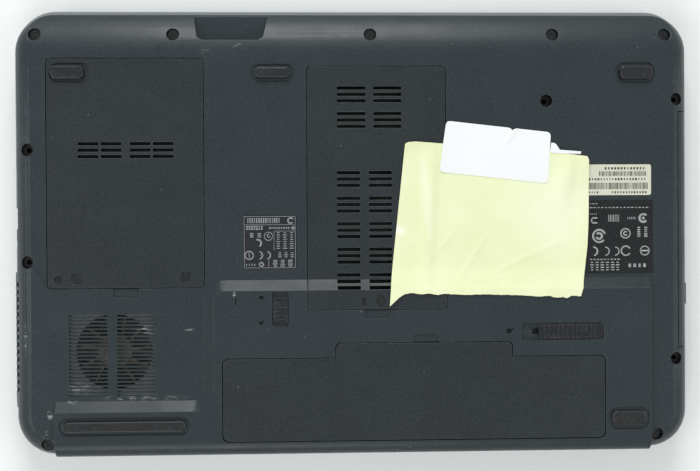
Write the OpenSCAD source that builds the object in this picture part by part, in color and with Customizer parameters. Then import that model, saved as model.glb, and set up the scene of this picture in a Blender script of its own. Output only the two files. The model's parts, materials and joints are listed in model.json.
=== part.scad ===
// Broken 15.6-inch laptop, lying closed on its lid with the underside up.
// +X is the user's right side, +Y the front (palm-rest) edge, Z = 0 the lid's outer face.

/* [Case] */
// Width of the case, side to side
base_w = 381; // [375:1:470]
// Depth of the case, front to rear
base_d = 248; // [244:1:310]
// Height of the main underside level above the table
main_z = 31; // [30:0.5:36]
// How far the rear platform stands above the main level
platform_rise = 4; // [3.5:0.5:6]
// Wall thickness of the bottom case
case_wall = 2; // [1.6:0.1:2.4]
// Corner radius of the case in plan
corner_r = 22; // [18:1:26]
// Radius of the rounded side rims
rim_r = 14.6; // [14.2:0.1:16]
// Radius of the curved front of the underside
front_curve_r = 40; // [36:1:50]

/* [Lid] */
// Thickness of the closed lid
lid_t = 8; // [7.5:0.5:9]
// Width of the visible screen
screen_w = 345; // [300:1:350]
// Height of the visible screen
screen_h = 195; // [180:1:200]
// Wall thickness of the lid cover
lid_wall = 1.6; // [1.2:0.1:2]
// Radius of the hinge pins
hinge_pin_r = 1.5; // [1.2:0.1:1.8]

/* [Covers and screws] */
// Thickness of the two service covers
cover_t = 2; // [1.6:0.1:2.4]
// Gap round covers, battery and latches
seam = 0.4; // [0.3:0.05:0.6]
// Radius of the screw wells
well_r = 3.5; // [3.2:0.1:4]
// Height of the floor of the screw wells
well_z = 25; // [24:0.5:26]
// Radius of the case screws' heads
head_r = 2.8; // [2.4:0.1:3]
// Radius of the case screws' shanks
shank_r = 1.2; // [1:0.1:1.3]

/* [Battery] */
// Width of the battery
battery_w = 214; // [200:1:220]
// Depth of the battery
battery_d = 46; // [42:1:48]
// Height of the battery
battery_h = 18.2; // [17:0.2:18.4]

/* [Keyboard] */
// Distance between neighbouring keys
key_pitch = 18.2; // [17:0.1:18.4]
// Gap between neighbouring key caps
key_gap = 2.6; // [2:0.1:4]
// Travel of a key
key_travel = 1.8; // [1.2:0.1:1.9]
// Depth of the narrow row of function keys
function_row_d = 12; // [10:0.5:13]

/* [Fan and drives] */
// Radius of the fan's blades
fan_r = 21.5; // [18:0.5:22]
// Number of fan blades
blade_count = 11; // [7:1:15]
// How far the disc tray slides out
tray_travel = 118; // [100:1:119]

/* [Hidden] */
$fn = 48;
e = 0.01;

function from_left(d) = -base_w / 2 + d;
function from_right(d) = base_w / 2 - d;
function from_front(d) = base_d / 2 - d;
function from_rear(d) = -base_d / 2 + d;

// Levels, from the table up
lid_gap = 0.6;
deck_z = lid_t + lid_gap;
deck_t = 1.8;
deck_in = deck_z + deck_t;
seam_z = 14;
platform_z = main_z + platform_rise;
roof_in = main_z - case_wall;
recess_gap = 0.1;

// The lid's hinge line and the knuckles on it
hinge_y = from_rear(10);
hinge_z = lid_t / 2;
knuckle_r = lid_t / 2 - 0.1;
knuckle_x = [119, 143];
knuckle_side_gap = 2.5;
barrel_r = 3;
pin_gap = 0.05;
front_lip = 2.4;
lid_front_y = from_front(-1.5);

// Rims, ramp and platform on the underside
rim_run = 10.5;
rim_z = main_z - 14;
front_flat_y = from_front(26);
ramp_run = 5.8;
ramp_bottom_y = from_rear(98);
ramp_top_y = ramp_bottom_y - ramp_run;
platform_x = [-79, from_right(24.2)];
strip_x = from_left(23.6);
strip_y = from_rear(25.5);
platform_corner_r = 6;
rear_round_r = 8;

// Service covers
drive_cover = [from_left(19.6), from_left(106.1), from_rear(94.1), from_front(26.6)];
memory_cover_box = [-26.7, 50.7, from_rear(81.4), from_front(31)];
cover_r = 2;
cover_ledge = 3;
ledge_t = 1.6;
notch_w = 14.4;
notch_l = 5;
notch_corner = 2;
vent_h = 1.9;
vent_pitch = 3.55;
drive_vent_x = [for (d = [36.9, 49.6, 65.6, 78.3]) [from_left(d), 11.1]];
drive_vent_y = from_front(72.8);
memory_vents_wide = [[-9.9, 15.8], [10.5, 15.5]];
memory_vents_narrow = [[-10.1, 12.7], [7.8, 12.7]];
memory_group_y = [89.4, 103.7, 118, 132.3];
cover_screw_at = [
    [from_left(35.4), from_rear(99.6), main_z],
    [from_left(95.8), from_rear(100), main_z],
    [13.8, from_rear(86), platform_z]
];
cover_head_r = 2.6;

// Case screws: seen screws and wells whose screw is gone
front_row_y = from_front(12.8);
screw_at = [
    [from_left(12.9), front_row_y], [-101.2, front_row_y], [8.9, front_row_y], [111.9, front_row_y],
    [from_right(14.6), front_row_y], [from_left(18.4), from_rear(6.8)], [from_right(19.6), from_rear(8.8)]
];
empty_at = [
    [from_left(8.8), from_front(77)], [from_left(8.4), from_rear(108.6)], [from_right(8.3), from_front(49.4)],
    [from_right(8.6), from_rear(51.8)], [107.8, from_front(50.4)]
];
boss_r = well_r + 0.9;
post_top = 20;
post_r = 2.7;

// Battery bay
battery_x0 = -74.2;
battery_y1 = from_rear(54.3);
battery_y0 = battery_y1 - battery_d;
battery_top = platform_z - 0.2;
ledge_x = [-11.4, 87.4];
ledge_out = 8.2;
battery_ledge_t = 3.8;
bay_wall = 1.4;
bay_floor_z = battery_top - battery_h - seam - 1.2;

// Latches on the platform
release_slot = [92.8, 139.1, from_rear(63.4), from_rear(73)];
release_travel = 9.3;
lock_slot = [-46.6, -37.6, from_rear(72.3), from_rear(91.8)];
lock_travel = 3.2;
latch_floor = platform_z - 2.2;
latch_gap = 0.3;
release_w = release_slot[1] - release_slot[0] - 2 * latch_gap - release_travel;
lock_l = lock_slot[3] - lock_slot[2] - 2 * latch_gap - lock_travel;

// Feet, each [x0, x1, y0, y1] of its surround
foot_fl = [from_left(21.5), from_left(43.9), from_front(39.6), from_front(29.1)];
foot_fc = [-57.5, -34, from_front(39.4), from_front(29.7)];
foot_fr = [from_right(43.2), from_right(21), from_front(40.2), from_front(28.9)];
foot_rr = [from_right(48.9), from_right(25.7), from_rear(12.9), from_rear(25.3)];
foot_rl = [from_left(26.1), from_left(97.9), from_rear(12.9), from_rear(22.7)];
foot_sink = 0.8;
foot_rim = 1.9;

// Fan, its grille and the exhaust
fan_at = [from_left(55.8), from_rear(58.6)];
grille_x = [[from_left(31.2), from_left(52.3)], [from_left(57.7), from_left(78.3)]];
grille_y = [from_rear(34), from_rear(79.5)];
grille_pitch = 2.1;
grille_slot = 1.15;
fan_box_z = [17, roof_in - 0.2];
fan_box = [fan_at[0] - 27.5, fan_at[0] + 27.5, fan_at[1] - 26.5, fan_at[1] + 27.5];
fan_pin_r = 1.2;
bulge = 1.2;
vent_y = [from_rear(27), from_rear(103)];

// Optical drive
drive_y = [from_rear(58.1), from_front(56.4)];
odd_w = 126;
odd_t = 12.7;
odd_z = [roof_in - 0.2 - odd_t, roof_in - 0.2];
bezel_t = 5.6;
odd_x1 = from_right(bezel_t + 1.1);
odd_case_x = [odd_x1 - 4 - odd_w, odd_x1 - 4];
bezel_z = [seam_z + 0.3, main_z];
tray_z = [odd_z[0] + 2, odd_z[0] + 8.5];
eject_at = [drive_y[0] + 30, 20];
eject_travel = 0.6;

// Inside the case
board_z = 17.5;
board_t = 1.6;
board_top = board_z + board_t;
board = [-78, 54, from_rear(74), from_front(34)];
standoff_at = [
    [-72, from_front(44), roof_in], [-75, from_rear(82), platform_z - case_wall], [-38, from_front(100), roof_in],
    [44, from_rear(77), platform_z - case_wall], [53.9, from_front(44), roof_in]
];
hdd = [from_left(26), from_left(95.8), from_front(130), from_front(30)];
cpu_at = [-50, from_rear(92)];
pipe_y = cpu_at[1];

// Keyboard, palm rest and touchpad
key_gap_block = 4;
keys_w = 19 * key_pitch + key_gap_block;
keys_x0 = -keys_w / 2;
keys_y1 = from_rear(140);
keys_y0 = keys_y1 - 5 * key_pitch - function_row_d;
cap_z = deck_z + 0.3;
cap_t = 1.8;
plate_z = cap_z + cap_t + key_travel + 0.1;
plate_t = 0.8;
stem_r = 2.2;
stem_gap = 0.4;
touch_window = [-72, 12, from_front(88), from_front(38)];
button_y = [from_front(36.6), from_front(25)];
power_at = [-150, from_rear(20.5)];
power_r = 6;
touch_gap = 0.35;

// Sockets in the left side, each [y, width, bottom z, height]
socket_x = [from_left(6), from_left(16)];
usb_y = [from_front(50.5), from_front(95.5)];
usb_size = [13, 6];
usb_hole = [11.8, 4.6];
network_y = from_front(115);
network_size = [15.6, 11.6];
network_hole = [11.6, 8.4];
socket_z = 14.4;
jack_y = [from_front(26), from_front(36)];
jack_r = 1.8;
jack_z = 18;
inlet_y = from_rear(118.4);

module box(x0, x1, y0, y1, z0, z1) {
    translate([x0, y0, z0]) cube([x1 - x0, y1 - y0, z1 - z0]);
}

module rounded_rect(x0, x1, y0, y1, r) {
    translate([x0 + r, y0]) square([x1 - x0 - 2 * r, y1 - y0]);
    translate([x0, y0 + r]) square([x1 - x0, y1 - y0 - 2 * r]);
    for (x = [x0 + r, x1 - r], y = [y0 + r, y1 - r]) translate([x, y]) circle(r);
}

module plate(b, z0, z1, r, grow = 0) {
    translate([0, 0, z0]) linear_extrude(z1 - z0)
        rounded_rect(b[0] - grow, b[1] + grow, b[2] - grow, b[3] + grow, max(r + grow, 0.5));
}

// Sweeps a 2D section, drawn from its corner centre out to radius w, round a plan with corners of radius w
module swept_slab(half_w, y0, y1, w, z0, z1) {
    for (m = [0, 1]) mirror([m, 0, 0]) {
        translate([half_w - w, y1 - w, 0]) rotate_extrude(angle = 90) children();
        translate([half_w - w, y0 + w, 0]) rotate([0, 0, -90]) rotate_extrude(angle = 90) children();
        translate([half_w - w, y1 - w, 0]) rotate([90, 0, 0]) linear_extrude(y1 - y0 - 2 * w) children();
    }
    translate([-half_w + w, y1 - w, 0]) rotate([90, 0, 90]) linear_extrude(2 * (half_w - w)) children();
    translate([half_w - w, y0 + w, 0]) rotate([90, 0, -90]) linear_extrude(2 * (half_w - w)) children();
    box(-half_w + w, half_w - w, y0 + w, y1 - w, z0, z1);
}

// Half section of the bottom case: upright wall, then the round rim up to the main level
module rim_section(inset) {
    square_h = main_z - inset - seam_z;
    translate([0, seam_z]) square([corner_r - inset, rim_z - seam_z]);
    translate([0, seam_z]) square([corner_r - rim_run, square_h]);
    intersection() {
        translate([0, rim_z - 0.1]) square([corner_r, main_z - inset - rim_z + 0.1]);
        translate([corner_r - rim_r, rim_z]) circle(rim_r - inset);
    }
}

// Everything under the curve that the front of the underside follows
module front_curve(inset) {
    rotate([90, 0, 90]) translate([0, 0, -base_w]) linear_extrude(2 * base_w) {
        translate([-base_d, 0]) square([base_d + front_flat_y, main_z - inset]);
        translate([front_flat_y, main_z - front_curve_r]) circle(front_curve_r - inset);
    }
}

module main_body(inset) {
    intersection() {
        swept_slab(base_w / 2, from_rear(0), from_front(0), corner_r, seam_z, main_z - inset)
            rim_section(inset);
        front_curve(inset);
    }
}

// Raised part of the underside behind the ramp, with one rounded ramp corner and one filled corner
module platform() {
    round_c = [platform_x[0] + platform_corner_r, ramp_top_y - platform_corner_r];
    fill_r = platform_corner_r + ramp_run;
    fill_c = [platform_x[0] - fill_r, strip_y + fill_r];
    z0 = main_z - e;
    rise = platform_rise + e;
    intersection() {
        union() {
            difference() {
                intersection() {
                    rotate([90, 0, 90]) translate([0, 0, -base_w]) linear_extrude(2 * base_w)
                        polygon([[-base_d, z0], [ramp_bottom_y, z0], [ramp_top_y, platform_z], [-base_d, platform_z]]);
                    rotate([90, 0, 0]) translate([0, 0, -base_d]) linear_extrude(2 * base_d) polygon([
                        [platform_x[0] - ramp_run, z0], [platform_x[1], z0],
                        [platform_x[1], platform_z], [platform_x[0], platform_z]
                    ]);
                }
                box(round_c[0] - 20, round_c[0], round_c[1], round_c[1] + 20, z0 - 1, platform_z + 1);
            }
            translate([round_c[0], round_c[1], z0])
                cylinder(r1 = platform_corner_r + ramp_run, r2 = platform_corner_r, h = rise);
            intersection() {
                rotate([90, 0, 90]) translate([0, 0, strip_x]) linear_extrude(platform_x[0] - strip_x + 10)
                    polygon([[-base_d, z0], [strip_y + ramp_run, z0], [strip_y, platform_z], [-base_d, platform_z]]);
                box(strip_x, 0, -base_d, 0, z0, platform_z);
            }
            difference() {
                box(fill_c[0], platform_x[0], strip_y, fill_c[1], z0, platform_z);
                translate([fill_c[0], fill_c[1], z0 - e])
                    cylinder(r1 = platform_corner_r, r2 = fill_r, h = rise + 2 * e);
            }
            box(strip_x, platform_x[1], from_rear(0), from_rear(16), rim_z, main_z);
        }
        rotate([90, 0, 90]) translate([0, 0, -base_w]) linear_extrude(2 * base_w) {
            translate([from_rear(rear_round_r), 0]) square([base_d, platform_z]);
            translate([from_rear(0), 0]) square([base_d, platform_z - rear_round_r]);
            translate([from_rear(rear_round_r), platform_z - rear_round_r]) circle(rear_round_r);
        }
    }
}

// Main level, ramp and platform as a profile along the middle, lowered by drop
module roof_profile(drop, x0, x1) {
    rotate([90, 0, 90]) translate([0, 0, x0]) linear_extrude(x1 - x0) polygon([
        [front_flat_y, 0], [front_flat_y, main_z - drop], [ramp_bottom_y, main_z - drop],
        [ramp_top_y, platform_z - drop], [from_rear(10), platform_z - drop], [from_rear(10), 0]
    ]);
}

module at_places(places) {
    for (p = places) translate([p[0], p[1], 0]) children();
}

module vent_rows(columns, y1, rows, z0, z1) {
    for (c = columns, i = [0 : rows - 1])
        box(c[0], c[0] + c[1], y1 - i * vent_pitch - vent_h, y1 - i * vent_pitch, z0, z1);
}

module notch(x, edge, way, z) {
    near = edge - way * 3;
    far = edge + way * notch_l;
    translate([0, 0, z]) linear_extrude(5)
        rounded_rect(x - notch_w / 2, x + notch_w / 2, min(near, far), max(near, far), notch_corner);
}

module lid_section(inset) {
    r = 5;
    translate([0, inset]) square([corner_r - r, lid_t - inset]);
    translate([0, r]) square([corner_r - inset, lid_t - r]);
    intersection() {
        translate([corner_r - r, r]) circle(r - inset);
        square([corner_r, r + e]);
    }
}

module lid_cover() {
    pin_x = knuckle_x[1] + knuckle_side_gap;
    color("#2b2f33") difference() {
        intersection() {
            union() {
                intersection() {
                    swept_slab(base_w / 2 - 0.5, hinge_y - 40, lid_front_y, corner_r, 0, lid_t) lid_section(0);
                    box(-base_w, base_w, hinge_y, base_d, -1, lid_t + 1);
                }
                translate([-base_w / 2 + 0.5, hinge_y, hinge_z]) rotate([0, 90, 0])
                    cylinder(r = lid_t / 2, h = base_w - 1);
            }
            plate([-base_w / 2 + 0.4, base_w / 2 - 0.4, from_rear(0), lid_front_y + 1], -1, lid_t + 1, corner_r);
        }
        intersection() {
            translate([0, 0, lid_wall]) swept_slab(
                base_w / 2 - 0.5 - lid_wall, hinge_y - 40, lid_front_y - lid_wall, corner_r, 0, lid_t
            ) lid_section(0);
            box(-base_w, base_w, hinge_y + 4.5, base_d, -1, lid_t + 1);
        }
        for (s = [-1, 1]) {
            xs = [s * (knuckle_x[0] - 1), s * pin_x];
            box(min(xs), max(xs), hinge_y - 8, hinge_y + 7.5, -1, lid_t + 1);
            translate([s * (pin_x + 15), hinge_y, hinge_z]) rotate([0, 90, 0])
                cylinder(r = hinge_pin_r + 0.5, h = 32, center = true);
            arm = [s * (pin_x + 16), s * (pin_x + 31)];
            box(min(arm), max(arm), hinge_y - 2, hinge_y + 4.6, hinge_z - 2.1, lid_t + 1);
        }
    }
}

bezel_z0 = lid_t - 1.6;

module screen_bezel() {
    edge = lid_wall + 0.7;
    window_y = hinge_y + 26;
    color("#1f2225") difference() {
        translate([0, 0, bezel_z0]) linear_extrude(1.6) difference() {
            intersection() {
                rounded_rect(-base_w / 2 + edge, base_w / 2 - edge, hinge_y - 40, lid_front_y - edge + 0.4, corner_r);
                translate([-base_w / 2, hinge_y + 5]) square([base_w, base_d]);
            }
            translate([-screen_w / 2, window_y]) square([screen_w, screen_h]);
            translate([0, lid_front_y - 9.5]) circle(3.2);
            for (s = [-1, 1]) translate([s * (knuckle_x[0] + knuckle_x[1]) / 2, hinge_y + 4])
                square([knuckle_x[1] - knuckle_x[0] + 8, 9], center = true);
        }
        at_places(bezel_screw_at) translate([0, 0, lid_t - 1]) cylinder(r = 2.3, h = 2);
    }
}

bezel_screw_at = [for (x = [-1, 1], y = [hinge_y + 14, lid_front_y - 12]) [x * (base_w / 2 - 14), y]];

module bezel_screws() {
    color("#55585b") at_places(bezel_screw_at)
        translate([0, 0, lid_t - 1]) cylinder(r = 2, h = 0.7);
}

module display_panel() {
    y0 = hinge_y + 17;
    color("#0d0f11") difference() {
        box(-screen_w / 2 - 7, screen_w / 2 + 7, y0, y0 + screen_h + 14, lid_wall + 0.1, bezel_z0 - 0.1);
        box(-screen_w / 2 - 1, screen_w / 2 + 1, y0 + 8, y0 + 10 + screen_h, bezel_z0 - 0.4, bezel_z0);
    }
}

module webcam_module() {
    y = lid_front_y - 9.5;
    color("#14161a") {
        box(-30, 30, y - 3.6, y + 3.6, lid_wall + 0.1, bezel_z0 - 0.1);
        translate([0, y, bezel_z0 - 0.2]) cylinder(r = 2.9, h = 1.5);
    }
}

module lid_hinge_arms() {
    pin_x0 = knuckle_x[0] + 3;
    arm_x = knuckle_x[1] + knuckle_side_gap + 17;
    color("#9a9da0") for (m = [0, 1]) mirror([m, 0, 0]) {
        translate([pin_x0, hinge_y, hinge_z]) rotate([0, 90, 0]) cylinder(r = hinge_pin_r, h = arm_x + 3 - pin_x0);
        box(arm_x, arm_x + 12, hinge_y - 1.6, hinge_y + 12, hinge_z - 1.9, hinge_z + 1.5);
        box(arm_x, screen_w / 2 + 12, hinge_y + 8, hinge_y + 13, hinge_z - 1.9, hinge_z + 1.5);
        box(screen_w / 2 + 8, screen_w / 2 + 12, hinge_y + 8, hinge_y + 150, hinge_z - 1.9, hinge_z + 1.5);
    }
}

module bezel_bumpers() {
    color("#26282b") for (s = [-1, 1], y = [lid_front_y - 8, hinge_y + 70])
        translate([s * (base_w / 2 - 7), y, lid_t]) cylinder(r = 2.5, h = lid_gap - 0.1);
}

module well_places() {
    at_places(concat(screw_at, empty_at)) children();
}

module bay_plan(grow, ledge_too = true) {
    rounded_rect(battery_x0 - grow, battery_x0 + battery_w + grow, battery_y0 - grow, battery_y1 + grow, 3.5);
    if (ledge_too)
        rounded_rect(ledge_x[0] - grow, ledge_x[1] + grow, battery_y1 - 10, battery_y1 + ledge_out + grow, 3);
}

module case_hollow() {
    difference() {
        main_body(case_wall);
        translate([0, 0, bay_floor_z]) linear_extrude(platform_z) bay_plan(seam + bay_wall, false);
    }
    intersection() {
        union() {
            box(platform_x[0] + 2, platform_x[1] - case_wall, from_rear(7.5), ramp_top_y - case_wall,
                roof_in - 1, platform_z - case_wall);
            box(strip_x + case_wall, platform_x[0] + 3, from_rear(7.5), strip_y - case_wall,
                roof_in - 1, platform_z - case_wall);
        }
        difference() {
            box(-base_w, base_w, -base_d, base_d, 0, platform_z);
            translate([0, 0, bay_floor_z]) linear_extrude(platform_z) bay_plan(seam + bay_wall, false);
            translate([0, 0, battery_top - battery_ledge_t - seam - bay_wall]) linear_extrude(20)
                bay_plan(seam + bay_wall);
            plate(release_slot, latch_floor - ledge_t, platform_z, 1, 2);
            plate(lock_slot, latch_floor - ledge_t, platform_z, 1, 2);
        }
    }
}

module exhaust_bulge() {
    intersection() {
        translate([0, 0, seam_z]) linear_extrude(12) polygon([
            [from_left(-bulge), vent_y[0] + 8], [from_left(-bulge), vent_y[1] - 4], [from_left(0), vent_y[1]],
            [from_left(3), vent_y[1]], [from_left(3), vent_y[0]], [from_left(0), vent_y[0]]
        ]);
        translate([from_left(10 - bulge), base_d, seam_z + 2]) rotate([90, 0, 0]) cylinder(r = 10, h = 2 * base_d);
    }
}

card_recess = [[-90.9, from_front(-5)], [-87.8, from_front(14)], [-85, from_front(16)],
    [-54, from_front(16)], [-51, from_front(14)], [-47.2, from_front(-5)]];

module bottom_case() {
    ledge_z = main_z - cover_t - recess_gap;
    color("#3a4144") difference() {
        union() {
            difference() {
                union() {
                    main_body(0);
                    platform();
                    exhaust_bulge();
                }
                case_hollow();
            }
            intersection() {
                union() {
                    well_places() translate([0, 0, post_top]) cylinder(r = boss_r, h = main_z - post_top);
                    translate([0, 0, 21]) linear_extrude(9) translate([card_recess[0][0] - 2, from_front(18)])
                        square([card_recess[5][0] - card_recess[0][0] + 4, 17]);
                }
                main_body(0.5);
            }
            difference() {
                plate(drive_cover, ledge_z - ledge_t, roof_in + e, cover_r, 2);
                plate(drive_cover, ledge_z - ledge_t - 1, roof_in + 1, cover_r, -cover_ledge);
            }
            difference() {
                intersection() {
                    plate(memory_cover_box, 10, platform_z - 1, cover_r, 2);
                    roof_profile(case_wall - e, -60, 60);
                }
                roof_profile(cover_t + recess_gap + ledge_t, -60, 60);
                plate(memory_cover_box, 10, platform_z, cover_r, -cover_ledge);
            }
            for (p = standoff_at) translate([p[0], p[1], board_top]) cylinder(r = 2.4, h = p[2] + e - board_top);
            for (p = cover_screw_at) translate([p[0], p[1], p[2] - 5]) cylinder(r = 3.6, h = 2.6);
        }
        // Battery bay and its finger ledge
        translate([0, 0, battery_top - battery_h - seam]) linear_extrude(40) bay_plan(seam, false);
        translate([0, 0, battery_top - battery_ledge_t - seam]) linear_extrude(20) bay_plan(seam);
        // Cover seats
        plate(drive_cover, ledge_z, platform_z, cover_r, seam);
        plate(drive_cover, 10, platform_z, cover_r, -cover_ledge);
        difference() {
            plate(memory_cover_box, 20, platform_z + 1, cover_r, seam);
            roof_profile(cover_t + recess_gap, -60, 60);
        }
        plate(memory_cover_box, 20, platform_z, cover_r, -cover_ledge);
        at_places(cover_screw_at) translate([0, 0, 20]) cylinder(r = 1.05, h = 20);
        // Finger notches at covers and battery
        notch(from_left(62.9), from_rear(93.5), -1, main_z - 1.2);
        notch(11.4, from_rear(81.4), -1, platform_z - 1.2);
        notch(38.9, battery_y1 + ledge_out, 1, platform_z - 1.2);
        // Latch slots
        plate(release_slot, latch_floor, platform_z + 1, 1);
        plate(lock_slot, latch_floor, platform_z + 1, 1);
        box(release_slot[0] + 6, release_slot[0] + 36, release_slot[2] + 3.2, release_slot[3] - 3.2,
            20, platform_z);
        box(lock_slot[0] + 3.3, lock_slot[1] - 3.3, lock_slot[2] + 4, lock_slot[3] - 4, 20, platform_z);
        // Screw wells
        well_places() translate([0, 0, well_z]) cylinder(r = well_r, h = 20);
        well_places() translate([0, 0, 10]) cylinder(r = shank_r + 0.15, h = 20);
        // Foot seats
        plate(foot_fc, main_z - foot_sink, main_z + 1, 4.5);
        plate(foot_fr, main_z - foot_sink, main_z + 1, 4.5);
        plate(foot_rr, platform_z - foot_sink, platform_z + 1, 5);
        plate(foot_rl, platform_z - foot_sink, platform_z + 1, 4.5);
        // Fan grille and exhaust
        for (c = grille_x, y = [grille_y[0] : grille_pitch : grille_y[1] - grille_slot])
            box(c[0], c[1], y, y + grille_slot, roof_in - 1, main_z + 1);
        for (y = [vent_y[0] + 9 : 4.2 : vent_y[1] - 8])
            box(from_left(-bulge - 1), from_left(6), y, y + 2.6, 16.5, 24.5);
        // Card recess, drive opening and sockets
        translate([0, 0, 23]) linear_extrude(20) polygon(card_recess);
        box(odd_x1 - 0.6, from_right(-5), drive_y[0] - seam, drive_y[1] + seam, 10, main_z + 1);
        side_cuts();
    }
}

// Openings through the left wall for the sockets
module side_cuts() {
    for (y = usb_y) box(from_left(-2), from_left(6), y - usb_hole[0] / 2, y + usb_hole[0] / 2,
        socket_z + 0.7, socket_z + 0.7 + usb_hole[1]);
    box(from_left(-2), from_left(6), network_y - network_hole[0] / 2, network_y + network_hole[0] / 2,
        socket_z + 1.4, socket_z + 1.4 + network_hole[1]);
    for (y = jack_y) translate([from_left(-2), y, jack_z]) rotate([0, 90, 0]) cylinder(r = jack_r + 1.2, h = 8);
    translate([from_left(-2), inlet_y, jack_z + 1]) rotate([0, 90, 0]) cylinder(r = 3.6, h = 8);
}

module deck_section() {
    r = 2;
    translate([0, deck_z]) square([corner_r - r, seam_z - deck_z - 0.2]);
    translate([0, deck_z + r]) square([corner_r, seam_z - deck_z - r - 0.2]);
    translate([corner_r - r, deck_z + r]) circle(r);
}

module deck_body(inset) {
    swept_slab(base_w / 2 - inset, from_rear(0) + inset, from_front(-front_lip) - inset, corner_r,
        deck_z, seam_z - 0.2) deck_section();
}

module palm_rest() {
    win = [keys_x0 - 1.2, -keys_x0 + 1.2, keys_y0 - 1.2, keys_y1 + 1.2];
    color("#4a4f52") difference() {
        union() {
            difference() {
                deck_body(0);
                intersection() {
                    translate([0, 0, deck_t]) deck_body(case_wall);
                    box(-base_w, base_w, -base_d, base_d, deck_in, seam_z + 5);
                }
            }
            difference() {
                plate(win, deck_in - e, plate_z, 1.5, 4);
                plate(win, deck_in - 1, plate_z + 1, 1, 0);
            }
            well_places() translate([0, 0, deck_in - e]) cylinder(r = post_r, h = post_top - deck_in + e);
        }
        plate(win, deck_z - 1, plate_z + 1, 1, 0);
        plate(touch_window, deck_z - 1, deck_in + 1, 2, touch_gap);
        box(touch_window[0] - touch_gap, touch_window[1] + touch_gap, button_y[0] - touch_gap,
            button_y[1] + touch_gap, deck_z - 1, deck_in + 1);
        translate([power_at[0], power_at[1], 0]) cylinder(r = power_r + 0.3, h = 20);
        well_places() translate([0, 0, 12.5]) cylinder(r = shank_r + 0.05, h = 20);
        for (s = [-1, 1]) {
            translate([s * (knuckle_x[0] + knuckle_x[1]) / 2, hinge_y, 0])
                box(-10, 10, -2.4, 2.4, deck_z - 1, deck_in + 1);
            for (i = [0 : 9]) box(s * 62 - 14, s * 62 + 14, from_rear(18) + i * 1.6 - 0.4,
                from_rear(18) + i * 1.6 + 0.4, deck_z - 1, deck_in + 1);
        }
    }
}

module hard_drive_cover() {
    b = drive_cover;
    color("#373c3f") difference() {
        plate(b, main_z - cover_t, main_z, cover_r);
        vent_rows(drive_vent_x, drive_vent_y, 3, 20, 40);
        plate(foot_fl, main_z - foot_sink, main_z + 1, 4.5);
        at_places([cover_screw_at[0], cover_screw_at[1]]) {
            translate([0, 0, main_z - 1.2]) cylinder(r = cover_head_r + 0.35, h = 3);
            translate([0, 0, 20]) cylinder(r = 1.3, h = 20);
        }
    }
}

module memory_cover() {
    b = memory_cover_box;
    color("#373c3f") difference() {
        intersection() {
            plate(b, 20, platform_z, cover_r);
            roof_profile(0, -60, 60);
        }
        roof_profile(cover_t, -60, 60);
        vent_rows(memory_vents_wide, from_front(42.1), 3, 20, 40);
        vent_rows(memory_vents_wide, from_front(56.4), 3, 20, 40);
        for (g = memory_group_y) vent_rows(memory_vents_narrow, from_front(g), 3, 20, 40);
        vent_rows(memory_vents_narrow, ramp_bottom_y + 3.4, 3, 20, 40);
        translate([cover_screw_at[2][0], cover_screw_at[2][1], 0]) {
            translate([0, 0, platform_z - 1.2]) cylinder(r = cover_head_r + 0.35, h = 3);
            cylinder(r = 1.3, h = 40);
        }
    }
}

module battery_pack() {
    color("#363b3e") {
        translate([0, 0, battery_top - battery_h]) linear_extrude(battery_h) bay_plan(0, false);
        translate([0, 0, battery_top - battery_ledge_t]) linear_extrude(battery_ledge_t) bay_plan(0);
    }
}

module release_latch() {
    x1 = release_slot[1] - latch_gap;
    x0 = x1 - release_w;
    y0 = release_slot[2] + latch_gap;
    y1 = release_slot[3] - latch_gap;
    stem_x = release_slot[0] + 18;
    color("#2c3033") {
        plate([x0, x1, y0, y1], latch_floor + 0.2, platform_z - 0.3, 1);
        for (x = [x0 + 3 : 2.6 : x1 - 3]) box(x, x + 1.2, y0 + 1, y1 - 1, platform_z - 0.4, platform_z + 0.2);
        box(stem_x, stem_x + 16, release_slot[2] + 3.8, release_slot[3] - 3.8, 29.6, latch_floor + 0.3);
        box(stem_x - 1, stem_x + 17, release_slot[2] - 2, release_slot[3] - 2, 29.3, 30.6);
    }
}

module lock_latch() {
    y0 = lock_slot[2] + latch_gap;
    y1 = y0 + lock_l;
    color("#2c3033") {
        plate([lock_slot[0] + latch_gap, lock_slot[1] - latch_gap, y0, y1], latch_floor + 0.2, platform_z - 0.3, 1);
        for (y = [y0 + 2.4 : 2.4 : y1 - 2.4]) box(lock_slot[0] + 1.3, lock_slot[1] - 1.3, y, y + 1.1,
            platform_z - 0.4, platform_z + 0.2);
        box(lock_slot[0] + 3.7, lock_slot[1] - 3.7, y0 + 5, y0 + 9, 29, latch_floor + 0.3);
        box(lock_slot[0] + 1.5, lock_slot[1] - 1.5, y0 + 4, y0 + 10, 28.6, 29.8);
    }
}

module foot(b, z, h, r) {
    color("#17191b") plate(b, z - foot_sink, z + h, r, -foot_rim);
}

module rear_left_foot() { foot(foot_rl, platform_z, 2.4, 4.5); }
module rear_right_foot() { foot(foot_rr, platform_z, 1.6, 5); }
module front_centre_foot() { foot(foot_fc, main_z, 3, 4.5); }
module front_right_foot() { foot(foot_fr, main_z, 3, 4.5); }

// Worn foot: its glued end is torn away and it has slipped to one side
module front_left_foot() {
    b = foot_fl;
    color("#17191b") difference() {
        plate([b[0] - 1.2, b[1] - 2, b[2] + 0.3, b[3] - 0.3], main_z - foot_sink, main_z + 2.6, 4.2, -1.3);
        translate([b[0] - 1, b[2] + 3, main_z + 0.8]) rotate([0, 0, 24]) cube([4.5, 9, 6], center = true);
    }
}

module screw(head, shank, length, z) {
    difference() {
        union() {
            translate([0, 0, z]) cylinder(r = head, h = 1.2);
            translate([0, 0, z - length]) cylinder(r = shank, h = length + e);
        }
        for (a = [0, 90]) rotate([0, 0, a]) translate([0, 0, z + 1]) cube([head * 1.1, 0.6, 1.2], center = true);
    }
}

module case_screws() {
    color("#1e2022") at_places(screw_at) screw(head_r, shank_r, 9, well_z);
}

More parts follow.
